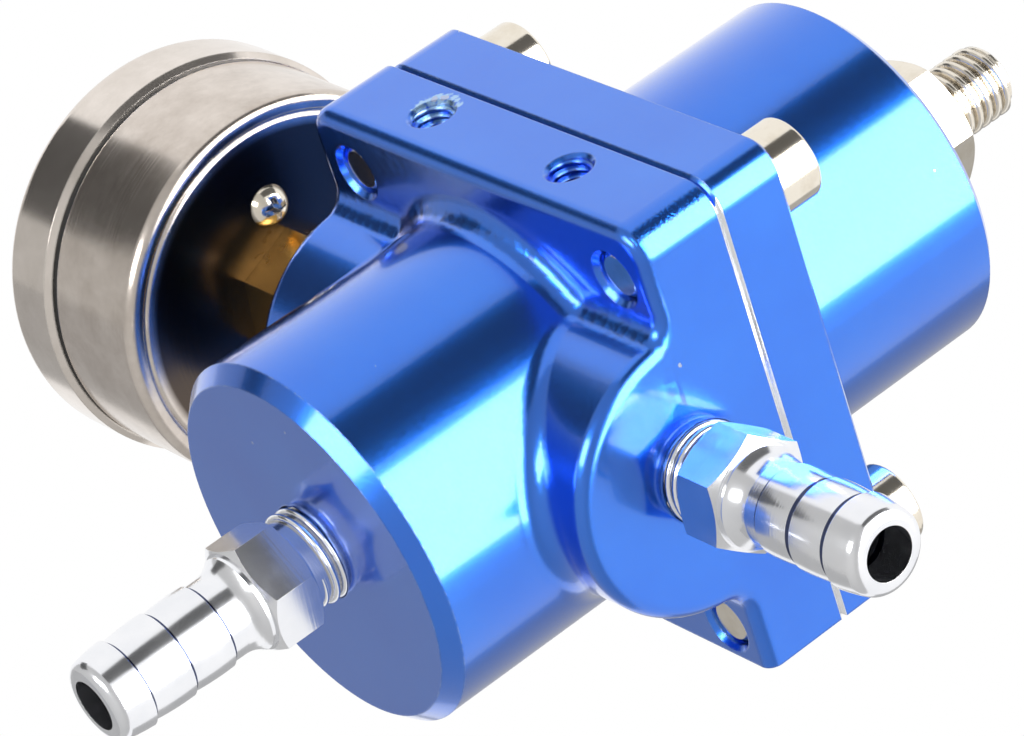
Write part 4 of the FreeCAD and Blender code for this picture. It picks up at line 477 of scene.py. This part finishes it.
def thread_tree():
    tree = bpy.data.node_groups.new("thread_ridge", "GeometryNodeTree")
    face = tree.interface
    face.new_socket("Geometry", in_out="OUTPUT", socket_type="NodeSocketGeometry")
    for name in ("Root radius", "Depth", "Pitch", "Turns", "Run out", "Side"):
        face.new_socket(name, in_out="INPUT", socket_type="NodeSocketFloat")
    face.new_socket("Finish", in_out="INPUT", socket_type="NodeSocketMaterial")
    given = add(tree, "NodeGroupInput").outputs
    rise = add(tree, MATH, {"operation": "MULTIPLY"}, {0: given["Pitch"], 1: given["Turns"]})
    spiral = add(tree, "GeometryNodeCurveSpiral", {"Resolution": 40, "Reverse": True},
                 {"Rotations": given["Turns"], "Start Radius": given["Root radius"],
                  "End Radius": given["Root radius"], "Height": rise.outputs[0]})
    along = add(tree, "GeometryNodeSplineParameter")
    turn = add(tree, MATH, {"operation": "MULTIPLY"}, {0: along.outputs["Factor"], 1: given["Turns"]})
    left = add(tree, MATH, {"operation": "SUBTRACT"}, {0: given["Turns"], 1: turn.outputs[0]})
    nearest = add(tree, MATH, {"operation": "MINIMUM"}, {0: turn.outputs[0], 1: left.outputs[0]})
    sink = add(tree, RANGE, {"To Min": 1.0, "To Max": 0.0},
               {"Value": nearest.outputs[0], "From Max": given["Run out"]})
    outward = add(tree, MATH, {"operation": "MULTIPLY"}, {0: given["Depth"], 1: given["Side"]})
    fall = add(tree, MATH, {"operation": "MULTIPLY"}, {0: sink.outputs[0], 1: outward.outputs[0]})
    share = add(tree, MATH, {"operation": "DIVIDE"}, {0: fall.outputs[0], 1: given["Root radius"]})
    keep = add(tree, MATH, {"operation": "SUBTRACT", 0: 1.0}, {1: share.outputs[0]})
    spot = add(tree, "GeometryNodeInputPosition")
    factor = add(tree, "ShaderNodeCombineXYZ", {2: 1.0}, {0: keep.outputs[0], 1: keep.outputs[0]})
    placed = add(tree, VECTOR, {"operation": "MULTIPLY"}, {0: spot.outputs[0], 1: factor.outputs[0]})
    sunk = add(tree, "GeometryNodeSetPosition", {},
               {"Geometry": spiral.outputs[0], "Position": placed.outputs[0]})
    upright = add(tree, "GeometryNodeSetCurveNormal", {"mode": "Z_UP"}, {"Curve": sunk.outputs[0]})
    base = add(tree, MATH, {"operation": "MULTIPLY", 1: RIDGE_FOOT}, {0: given["Pitch"]})
    crest = add(tree, MATH, {"operation": "MULTIPLY", 1: RIDGE_CREST}, {0: given["Pitch"]})
    ridge = add(tree, "GeometryNodeCurvePrimitiveQuadrilateral", {"mode": "TRAPEZOID", "Offset": 0.0},
                {"Height": given["Depth"], "Bottom Width": base.outputs[0],
                 "Top Width": crest.outputs[0]})
    upward = add(tree, MATH, {"operation": "MULTIPLY", 1: RIDGE_RAISE}, {0: given["Depth"]})
    lifted = add(tree, "ShaderNodeCombineXYZ", {}, {1: upward.outputs[0]})
    raised = add(tree, "GeometryNodeTransform", {},
                 {"Geometry": ridge.outputs[0], "Translation": lifted.outputs[0]})
    quarter = add(tree, MATH, {"operation": "MULTIPLY", 1: -math.pi / 2}, {0: given["Side"]})
    aim = add(tree, "ShaderNodeCombineXYZ", {}, {2: quarter.outputs[0]})
    turned = add(tree, "GeometryNodeTransform", {},
                 {"Geometry": raised.outputs[0], "Rotation": aim.outputs[0]})
    solid = add(tree, "GeometryNodeCurveToMesh", {"Fill Caps": True},
                {"Curve": upright.outputs[0], "Profile Curve": turned.outputs[0]})
    whole = add(tree, "GeometryNodeRealizeInstances", {}, {0: solid.outputs[0]})
    named = add(tree, "GeometryNodeSetMaterial", {},
                {"Geometry": whole.outputs[0], "Material": given["Finish"]})
    add(tree, "NodeGroupOutput", {}, {0: named.outputs[0]})
    return tree


def run_nodes(name, tree, **values):
    """Give a tree its inputs and keep the result as a plain mesh."""
    holder = bpy.data.objects.new(name, bpy.data.meshes.new(name + "_start"))
    bpy.context.scene.collection.objects.link(holder)
    modifier = holder.modifiers.new("nodes", "NODES")
    modifier.node_group = tree
    for item in tree.interface.items_tree:
        key = item.name.replace(" ", "_")
        if item.in_out == "INPUT" and key in values:
            modifier[item.identifier] = values[key]
    holder.update_tag()
    ready = holder.evaluated_get(bpy.context.evaluated_depsgraph_get())
    mesh = bpy.data.meshes.new_from_object(ready)
    holder.modifiers.remove(modifier)
    holder.data = mesh
    return holder


RIDGE = thread_tree()
print("thread tree has", len(RIDGE.nodes), "nodes")

# %% [markdown]
# The same ridge serves every thread on the part. Each is made upright at the origin in
# millimetres, then turned onto its axis and scaled into metres, so the object itself stays
# at the origin. The two ports and the stem have an M10 thread of 1 mm pitch. The return
# tail's thread stops short of its hexagon, where the turning tool left a plain neck.

# %% Threads of the ports and the gauge stem
TO_RIGHT = Matrix.Rotation(math.radians(90), 4, "Y")
TO_LEFT = Matrix.Rotation(math.radians(-90), 4, "Y")


def place_mesh(piece, place, turn=Matrix()):
    """Move a millimetre mesh to its place in metres, with its faces outward."""
    piece.data.transform(Matrix.Scale(MM, 4) @ Matrix.Translation(place) @ turn)
    shape = bmesh.new()
    shape.from_mesh(piece.data)
    bmesh.ops.remove_doubles(shape, verts=shape.verts, dist=1e-7)
    bmesh.ops.recalc_face_normals(shape, faces=shape.faces)
    shape.to_mesh(piece.data)
    shape.free()


def thread(name, body, slot, finish_of, place, turn, root, depth, pitch, turns, run_out=0.01,
           side=1.0):
    """A ridge of its own: root radius, depth and pitch in mm, its start at place."""
    piece = run_nodes(name, RIDGE, Root_radius=root, Depth=depth, Pitch=pitch, Turns=turns,
                      Run_out=run_out, Side=side, Finish=finish_of)
    place_mesh(piece, place, turn)
    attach(piece, body)
    print(name, len(piece.data.polygons), "faces")
    return piece


PORT_THREAD = (4.42, 0.52, 1.0)
INLET_START, RETURN_START, STEM_START = 25.0, -34.8, -23.9
thread("inlet_thread", "housing", "clear_aluminium", finish["inlet_hose_tail"],
       (INLET_START, *PORT_AXIS), TO_RIGHT, *PORT_THREAD, turns=2.9)
thread("return_thread", "housing", "clear_aluminium", finish["return_hose_tail"],
       (*MAIN_AXIS, RETURN_START), Matrix(), *PORT_THREAD, turns=2.9, run_out=0.3)
thread("stem_thread", "housing", "brass", brass,
       (STEM_START, *PORT_AXIS), TO_LEFT, *PORT_THREAD, turns=5.9)

# %% [markdown]
# The two bracket holes are tapped M5. Here the ridge points inward: its spiral has the
# hole's own radius, and side -1 turns the crest towards the axis. The thread starts just
# inside the mouth, where the hole has a small chamfer.

# %% Threads of the bracket holes
TO_FRONT = Matrix.Rotation(math.radians(90), 4, "X")
HOLE_X, HOLE_FLOOR = 10.35, 9.0
HOLE_THREAD = (2.12, 0.34, 0.8)
for side, x in (("left", -HOLE_X), ("right", HOLE_X)):
    thread("tapped_hole_" + side, "housing", "blue_anodised", finish["lower_body"],
           (x, HOLE_FLOOR, 0.0), TO_FRONT, *HOLE_THREAD, turns=10.6, run_out=0.3, side=-1.0)

# %% [markdown]
# The adjusting screw is an M8 set screw with 1.25 mm pitch, and its thread is plain to see
# above the lock nut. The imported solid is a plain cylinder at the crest, so a new piece
# stands for it: a core in rings of points, open at the top for the hexagon socket, and the
# ridge from the same tree round it. The ridge runs right to the end, where a 45 degree
# chamfer cuts it: points past the cone are drawn in to it. Both join into one mesh that
# turns with the adjuster.

# %% The adjusting screw
SCREW_FOOT, SCREW_TOP = [corner[2] for corner in box_mm("adjusting_screw")]
SCREW_CORE, SCREW_CREST = 3.3, 3.93
SCREW_PITCH = 1.25
SCREW_CHAMFER = 0.75
SCREW_FACE = SCREW_TOP - 0.04
RIDGE_START = SCREW_FOOT + 0.7
SOCKET, SOCKET_MOUTH = 4.0, 4.3
ROUND = 48


def ring(radius, height):
    return [(radius * math.cos(2 * math.pi * i / ROUND), radius * math.sin(2 * math.pi * i / ROUND),
             height) for i in range(ROUND)]


def hexagon_ring(flats, height, turn=math.radians(10)):
    points = []
    for i in range(ROUND):
        angle = 2 * math.pi * i / ROUND
        inside = (angle - turn + math.pi / 6) % (math.pi / 3) - math.pi / 6
        radius = flats / 2 / math.cos(inside)
        points.append((radius * math.cos(angle), radius * math.sin(angle), height))
    return points


rings = [ring(2.7, SCREW_FOOT), ring(SCREW_CORE, SCREW_FOOT + 0.9), ring(SCREW_CORE, SCREW_TOP - 0.2),
         ring(3.1, SCREW_TOP), hexagon_ring(SOCKET_MOUTH, SCREW_TOP), hexagon_ring(SOCKET, SCREW_TOP - 0.25),
         hexagon_ring(SOCKET, SCREW_TOP - 4.5), ring(0.3, SCREW_TOP - 5.2)]
core = bmesh.new()
loops = [[core.verts.new(point) for point in loop] for loop in rings]
for lower, upper in zip(loops, loops[1:]):
    for i in range(ROUND):
        core.faces.new((lower[i - 1], lower[i], upper[i], upper[i - 1]))
core.faces.new(loops[0])
core.faces.new(loops[-1])
ridge = run_nodes("screw_ridge", RIDGE, Root_radius=SCREW_CORE - 0.03, Depth=SCREW_CREST - SCREW_CORE,
                  Pitch=SCREW_PITCH, Turns=(SCREW_TOP - RIDGE_START) / SCREW_PITCH, Run_out=0.02,
                  Side=1.0, Finish=nickel)
ridge.data.transform(Matrix.Translation((0, 0, RIDGE_START)))
for point in ridge.data.vertices:
    point.co.z = min(point.co.z, SCREW_FACE)
    reach = point.co.xy.length
    allowed = SCREW_CREST - max(0.0, point.co.z - (SCREW_FACE - SCREW_CHAMFER))
    if reach > allowed:
        point.co.xy *= allowed / reach
core.from_mesh(ridge.data)
screw = bpy.data.objects.new("adjusting_screw_threaded", bpy.data.meshes.new("adjusting_screw_threaded"))
core.to_mesh(screw.data)
core.free()
screw.data.materials.append(nickel)
bpy.data.objects.remove(ridge)
bpy.context.scene.collection.objects.link(screw)
place_mesh(screw, (*MAIN_AXIS, 0.0))
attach(screw, "adjuster")
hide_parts("adjusting_screw")
print("screw", len(screw.data.polygons), "faces")

# %% [markdown]
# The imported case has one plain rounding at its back. The real one is drawn from sheet: the
# wall turns over in a tight roll, then a narrow groove runs round the flat back. A lathe
# profile gives all of it, so the new case is its section turned round the gauge's axis.
# The section is a closed ring of points, distance along the axis and distance from it.

# %% The spun gauge case
CASE_FRONT, CASE_BACK = [corner[0] for corner in box_mm("gauge_case")]
CASE_STEP = CASE_FRONT + 5.6
CASE_RADIUS, SPIGOT_RADIUS, BORE_RADIUS, STEM_HOLE = 20.1, 19.4, 18.6, 5.1
SHEET = 0.8
ROLL = 1.15
GROOVE = [(0.0, 18.5), (0.3, 18.35), (0.32, 18.15), (0.05, 17.9), (0.0, 17.7)]
STEPS = 144
edge = [(CASE_BACK - ROLL + ROLL * math.sin(math.radians(a)),
         CASE_RADIUS - ROLL + ROLL * math.cos(math.radians(a))) for a in range(0, 91, 10)]
groove = [(CASE_BACK - depth, radius) for depth, radius in GROOVE]
case_section = [(CASE_FRONT, BORE_RADIUS), (CASE_FRONT, SPIGOT_RADIUS), (CASE_STEP, SPIGOT_RADIUS),
                (CASE_STEP, CASE_RADIUS)] + edge + groove + [
    (CASE_BACK, STEM_HOLE), (CASE_BACK - SHEET, STEM_HOLE), (CASE_BACK - SHEET, BORE_RADIUS - SHEET),
    (CASE_BACK - 2 * SHEET, BORE_RADIUS)]
case = bmesh.new()
sweep = []
for i in range(STEPS):
    turn = 2 * math.pi * i / STEPS
    sweep.append([case.verts.new((x, r * math.cos(turn), r * math.sin(turn))) for x, r in case_section])
for i in range(STEPS):
    for j in range(len(case_section)):
        case.faces.new((sweep[i - 1][j - 1], sweep[i - 1][j], sweep[i][j], sweep[i][j - 1]))
for face in case.faces:
    face.smooth = True
case_piece = bpy.data.objects.new("gauge_case_spun", bpy.data.meshes.new("gauge_case_spun"))
case.to_mesh(case_piece.data)
case.free()
case_piece.data.materials.append(finish["gauge_case"])
bpy.context.scene.collection.objects.link(case_piece)
place_mesh(case_piece, GAUGE_CENTRE)
case_piece.data.set_sharp_from_angle(angle=math.radians(35))
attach(case_piece, "housing")
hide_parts("gauge_case")
print("case", len(case_piece.data.polygons), "faces")

# %% [markdown]
# The main spring is inside the bonnet and gets shorter when the adjusting screw presses its
# seat down: 18.8 mm long as set, 13.8 mm with the screw in. A rigid mesh would run into the
# seat; a copy of the imported spring, with a mesh of its own, stands for it.

# %% The main spring under its seat
spring = bpy.data.objects.new("main_spring_wound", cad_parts["main_spring"].data.copy())
bpy.context.scene.collection.objects.link(spring)
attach(spring, "housing")
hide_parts("main_spring")
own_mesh(spring)
print("spring", len(spring.data.polygons), "faces")

# %% [markdown]
# The dial's scale is printed: 33 lines over 270 degrees, each fourth one long and thick.
# A row of points instances a small bar, and the point's number gives its angle, so
# Geometry Nodes make the whole scale from a count and a sweep. It stands a few hundredths
# of a millimetre proud of the dial, about as thick as silk-screen ink looks.

# %% Scale lines by Geometry Nodes
DIAL_FACE = box_mm("gauge_dial")[0][0]
SWEEP_START, SWEEP = 225.0, 270.0
SCALE_LINES = 33


def scale_tree():
    tree = bpy.data.node_groups.new("dial_scale", "GeometryNodeTree")
    face = tree.interface
    face.new_socket("Geometry", in_out="OUTPUT", socket_type="NodeSocketGeometry")
    face.new_socket("Lines", in_out="INPUT", socket_type="NodeSocketInt")
    for name in ("Outer radius", "Length", "Width", "Step", "Every"):
        face.new_socket(name, in_out="INPUT", socket_type="NodeSocketFloat")
    face.new_socket("Finish", in_out="INPUT", socket_type="NodeSocketMaterial")
    given = add(tree, "NodeGroupInput").outputs
    row = add(tree, "GeometryNodePoints", {}, {"Count": given["Lines"]})
    number = add(tree, "GeometryNodeInputIndex")
    step = add(tree, MATH, {"operation": "RADIANS"}, {0: given["Step"]})
    angle = add(tree, MATH, {"operation": "MULTIPLY"}, {0: number.outputs[0], 1: step.outputs[0]})
    first = add(tree, MATH, {"operation": "SUBTRACT", 0: math.radians(SWEEP_START)},
                {1: angle.outputs[0]})
    turn = add(tree, "ShaderNodeCombineXYZ", {}, {2: first.outputs[0]})
    rest = add(tree, MATH, {"operation": "MODULO"}, {0: number.outputs[0], 1: given["Every"]})
    major = add(tree, MATH, {"operation": "LESS_THAN", 1: 0.5}, {0: rest.outputs[0]})
    long = add(tree, MATH, {"operation": "MULTIPLY_ADD", 1: 0.9, 2: 1.0}, {0: major.outputs[0]})
    size = add(tree, "ShaderNodeCombineXYZ", {2: 1.0}, {0: long.outputs[0], 1: long.outputs[0]})
    half = add(tree, MATH, {"operation": "MULTIPLY", 1: -0.5}, {0: given["Length"]})
    shift = add(tree, "ShaderNodeCombineXYZ", {}, {0: half.outputs[0]})
    box = add(tree, "ShaderNodeCombineXYZ", {2: 0.06}, {0: given["Length"], 1: given["Width"]})
    bar = add(tree, "GeometryNodeMeshCube", {}, {"Size": box.outputs[0]})
    inward = add(tree, "GeometryNodeTransform", {},
                 {"Geometry": bar.outputs[0], "Translation": shift.outputs[0]})
    cosine = add(tree, MATH, {"operation": "COSINE"}, {0: first.outputs[0]})
    sine = add(tree, MATH, {"operation": "SINE"}, {0: first.outputs[0]})
    aim = add(tree, "ShaderNodeCombineXYZ", {}, {0: cosine.outputs[0], 1: sine.outputs[0]})
    out = add(tree, VECTOR, {"operation": "SCALE"},
              {0: aim.outputs[0], "Scale": given["Outer radius"]})
    spread = add(tree, "GeometryNodeSetPosition", {},
                 {"Geometry": row.outputs[0], "Position": out.outputs[0]})
    bars = add(tree, "GeometryNodeInstanceOnPoints", {},
               {"Points": spread.outputs[0], "Instance": inward.outputs[0],
                "Rotation": turn.outputs[0], "Scale": size.outputs[0]})
    whole = add(tree, "GeometryNodeRealizeInstances", {}, {0: bars.outputs[0]})
    named = add(tree, "GeometryNodeSetMaterial", {},
                {"Geometry": whole.outputs[0], "Material": given["Finish"]})
    add(tree, "NodeGroupOutput", {}, {0: named.outputs[0]})
    return tree


FACE_LEFT = Matrix(((0, 0, -1, 0), (-1, 0, 0, 0), (0, 1, 0, 0), (0, 0, 0, 1)))
scale = run_nodes("dial_scale_lines", scale_tree(), Lines=SCALE_LINES, Outer_radius=16.4, Length=1.4,
                  Width=0.22, Step=SWEEP / (SCALE_LINES - 1), Every=4.0, Finish=black)
place_mesh(scale, (DIAL_FACE, *PORT_AXIS), FACE_LEFT)
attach(scale, "housing")
print("scale", len(scale.data.polygons), "faces")

# %% [markdown]
# The numbers on the dial are plain figures in steps of twenty. Each is a text object with a
# hair of thickness, made a mesh before it is placed, and all of them join into one piece.

# %% Numbers on the dial
FIGURES, FIGURE_STEP, FIGURE_SIZE = 9, 20, 2.9
FIGURE_RING = 11.3
figures = bmesh.new()
for i in range(FIGURES):
    angle = math.radians(SWEEP_START - SWEEP * i / (FIGURES - 1))
    text = bpy.data.curves.new("figure", "FONT")
    text.body = str(i * FIGURE_STEP)
    text.size = FIGURE_SIZE
    text.extrude = 0.03
    text.resolution_u = 3
    text.align_x = "CENTER"
    text.align_y = "CENTER"
    holder = bpy.data.objects.new("figure", text)
    bpy.context.scene.collection.objects.link(holder)
    bpy.context.view_layer.update()
    flat = bpy.data.meshes.new_from_object(holder.evaluated_get(bpy.context.evaluated_depsgraph_get()))
    flat.transform(Matrix.Translation((FIGURE_RING * math.cos(angle), FIGURE_RING * math.sin(angle), 0)))
    figures.from_mesh(flat)
    bpy.data.objects.remove(holder)
numbers = bpy.data.objects.new("dial_figures", bpy.data.meshes.new("dial_figures"))
figures.to_mesh(numbers.data)
figures.free()
numbers.data.materials.append(black)
bpy.context.scene.collection.objects.link(numbers)
place_mesh(numbers, (DIAL_FACE, *PORT_AXIS), FACE_LEFT)
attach(numbers, "housing")
print("figures", len(numbers.data.polygons), "faces")

# %% [markdown]
# The part hangs in a white studio, seen from below. The floor is pale and lies under the
# camera. Polished metal shows what stands round it, so the looks depend on the room: a
# bright soft box in front and to the right, a low one in front, dark cards for the navy and
# black bands, and grey cards behind for the softer ones. They are seen only in reflections,
# and a soft lamp and the world light the rest.

# %% Studio floor, soft box and cards


def panel(name, azimuth, elevation, width, height, strength, distance=1.2):
    """A rectangle in the room that only reflections show."""
    turn = Matrix.Rotation(math.radians(azimuth), 4, "Z") @ Matrix.Rotation(-math.radians(elevation), 4, "Y")
    shape = bmesh.new()
    corners = [(distance, y, z) for y, z in ((-1, -1), (1, -1), (1, 1), (-1, 1))]
    points = [turn @ Vector((x, y * width / 2, z * height / 2)) for x, y, z in corners]
    shape.faces.new([shape.verts.new(point) for point in points])
    piece = bpy.data.objects.new(name, bpy.data.meshes.new(name))
    shape.to_mesh(piece.data)
    shape.free()
    bpy.context.scene.collection.objects.link(piece)
    material = bpy.data.materials.new(name)
    material.use_nodes = True
    tree = material.node_tree
    glow = add(tree, "ShaderNodeEmission", {"Strength": strength})
    tree.links.new(glow.outputs[0], tree.nodes["Material Output"].inputs["Surface"])
    piece.data.materials.append(material)
    for ray in ("camera", "diffuse", "transmission", "volume_scatter", "shadow"):
        setattr(piece, "visible_" + ray, False)
    return piece


panel("soft_box", azimuth=-14, elevation=28, width=1.4, height=1.7, strength=7.0)
panel("low_soft_box", azimuth=272, elevation=-60, width=0.6, height=0.26, strength=7.0, distance=0.9)
panel("dark_card_front", azimuth=289, elevation=26, width=0.74, height=1.7, strength=0.12)
panel("dark_card_gauge", azimuth=210, elevation=-18, width=0.5, height=0.7, strength=0.1)
panel("grey_card_behind", azimuth=106, elevation=24, width=1.1, height=0.8, strength=0.45)
panel("grey_card_below", azimuth=145, elevation=-27, width=0.9, height=0.75, strength=0.45)

FLOOR = -0.95
floor = bpy.data.objects.new("floor", bpy.data.meshes.new("floor"))
floor.data.from_pydata([(-6, -6, FLOOR), (6, -6, FLOOR), (6, 6, FLOOR), (-6, 6, FLOOR)], [], [(0, 1, 2, 3)])
bpy.context.scene.collection.objects.link(floor)
paper = bpy.data.materials.new("studio_paper")
paper.use_nodes = True
tree = paper.node_tree
place = add(tree, "ShaderNodeTexCoord")
fibre = add(tree, NOISE, {"Scale": 400.0}, {"Vector": place.outputs["Object"]})
tone = add(tree, MIX, {"data_type": "RGBA", 6: colour("#f1f1f0"), 7: colour("#ecebe9")},
           {0: fibre.outputs[0]})
tree.links.new(tone.outputs[2], tree.nodes["Principled BSDF"].inputs["Base Color"])
path = add(tree, "ShaderNodeLightPath")
lift = add(tree, MATH, {"operation": "MULTIPLY", 1: 0.32}, {0: path.outputs["Is Camera Ray"]})
tree.links.new(lift.outputs[0], tree.nodes["Principled BSDF"].inputs["Emission Strength"])
set_shader(tree.nodes["Principled BSDF"], Roughness=0.8, Emission_Color=(1.0, 1.0, 1.0, 1.0))
floor.data.materials.append(paper)
print("floor at", FLOOR, "m")

# %% [markdown]
# The world is white to the camera and in metal and glass, and weaker as a light, so that
# pale lacquer keeps its colour. The lamp is broad and stands where the soft box is.

# %% World and lamp
world = bpy.data.worlds.new("white_room")
bpy.context.scene.world = world
world.use_nodes = True
tree = world.node_tree
path = add(tree, "ShaderNodeLightPath")
seen = add(tree, MATH, {"operation": "MAXIMUM"},
           {0: path.outputs["Is Camera Ray"], 1: path.outputs["Is Glossy Ray"]})
clear = add(tree, MATH, {"operation": "MAXIMUM"},
            {0: seen.outputs[0], 1: path.outputs["Is Transmission Ray"]})
level = add(tree, RANGE, {"To Min": 0.6, "To Max": 1.0}, {"Value": clear.outputs[0]})
tree.links.new(level.outputs[0], tree.nodes["Background"].inputs["Strength"])
tree.nodes["Background"].inputs["Color"].default_value = (1.0, 1.0, 1.0, 1.0)

lamp = bpy.data.lights.new("soft_lamp", "AREA")
lamp.energy = 5.0
lamp.size = 0.7
lamp_holder = bpy.data.objects.new("soft_lamp", lamp)
lamp_holder.location = (0.85, -0.2, 0.55)
lamp_holder.rotation_euler = Vector(lamp_holder.location).to_track_quat("Z", "Y").to_euler()
lamp_holder.visible_glossy = False
bpy.context.scene.collection.objects.link(lamp_holder)
print("lamp", lamp.energy, "W")

# %% [markdown]
# The camera was fitted to the photograph: a long lens, below the part and in front of its
# right side, rolled until the screw's axis lies as it does there.

# %% Camera
camera = bpy.data.cameras.new("camera")
camera.lens = 180.11
camera.sensor_width = 36.0
camera.sensor_fit = "HORIZONTAL"
camera.clip_start = 0.01
camera.clip_end = 20.0
eye = bpy.data.objects.new("camera", camera)
right, up, back = (0.6078, 0.2755, 0.7448), (-0.2707, -0.8099, 0.5204), (0.7465, -0.5179, -0.4177)
spot = (0.35573, -0.22521, -0.20548)
eye.matrix_world = Matrix([[right[i], up[i], back[i], spot[i]] for i in range(3)] + [[0, 0, 0, 1]])
bpy.context.scene.collection.objects.link(eye)
bpy.context.scene.camera = eye
bpy.context.scene.view_settings.view_transform = "Standard"
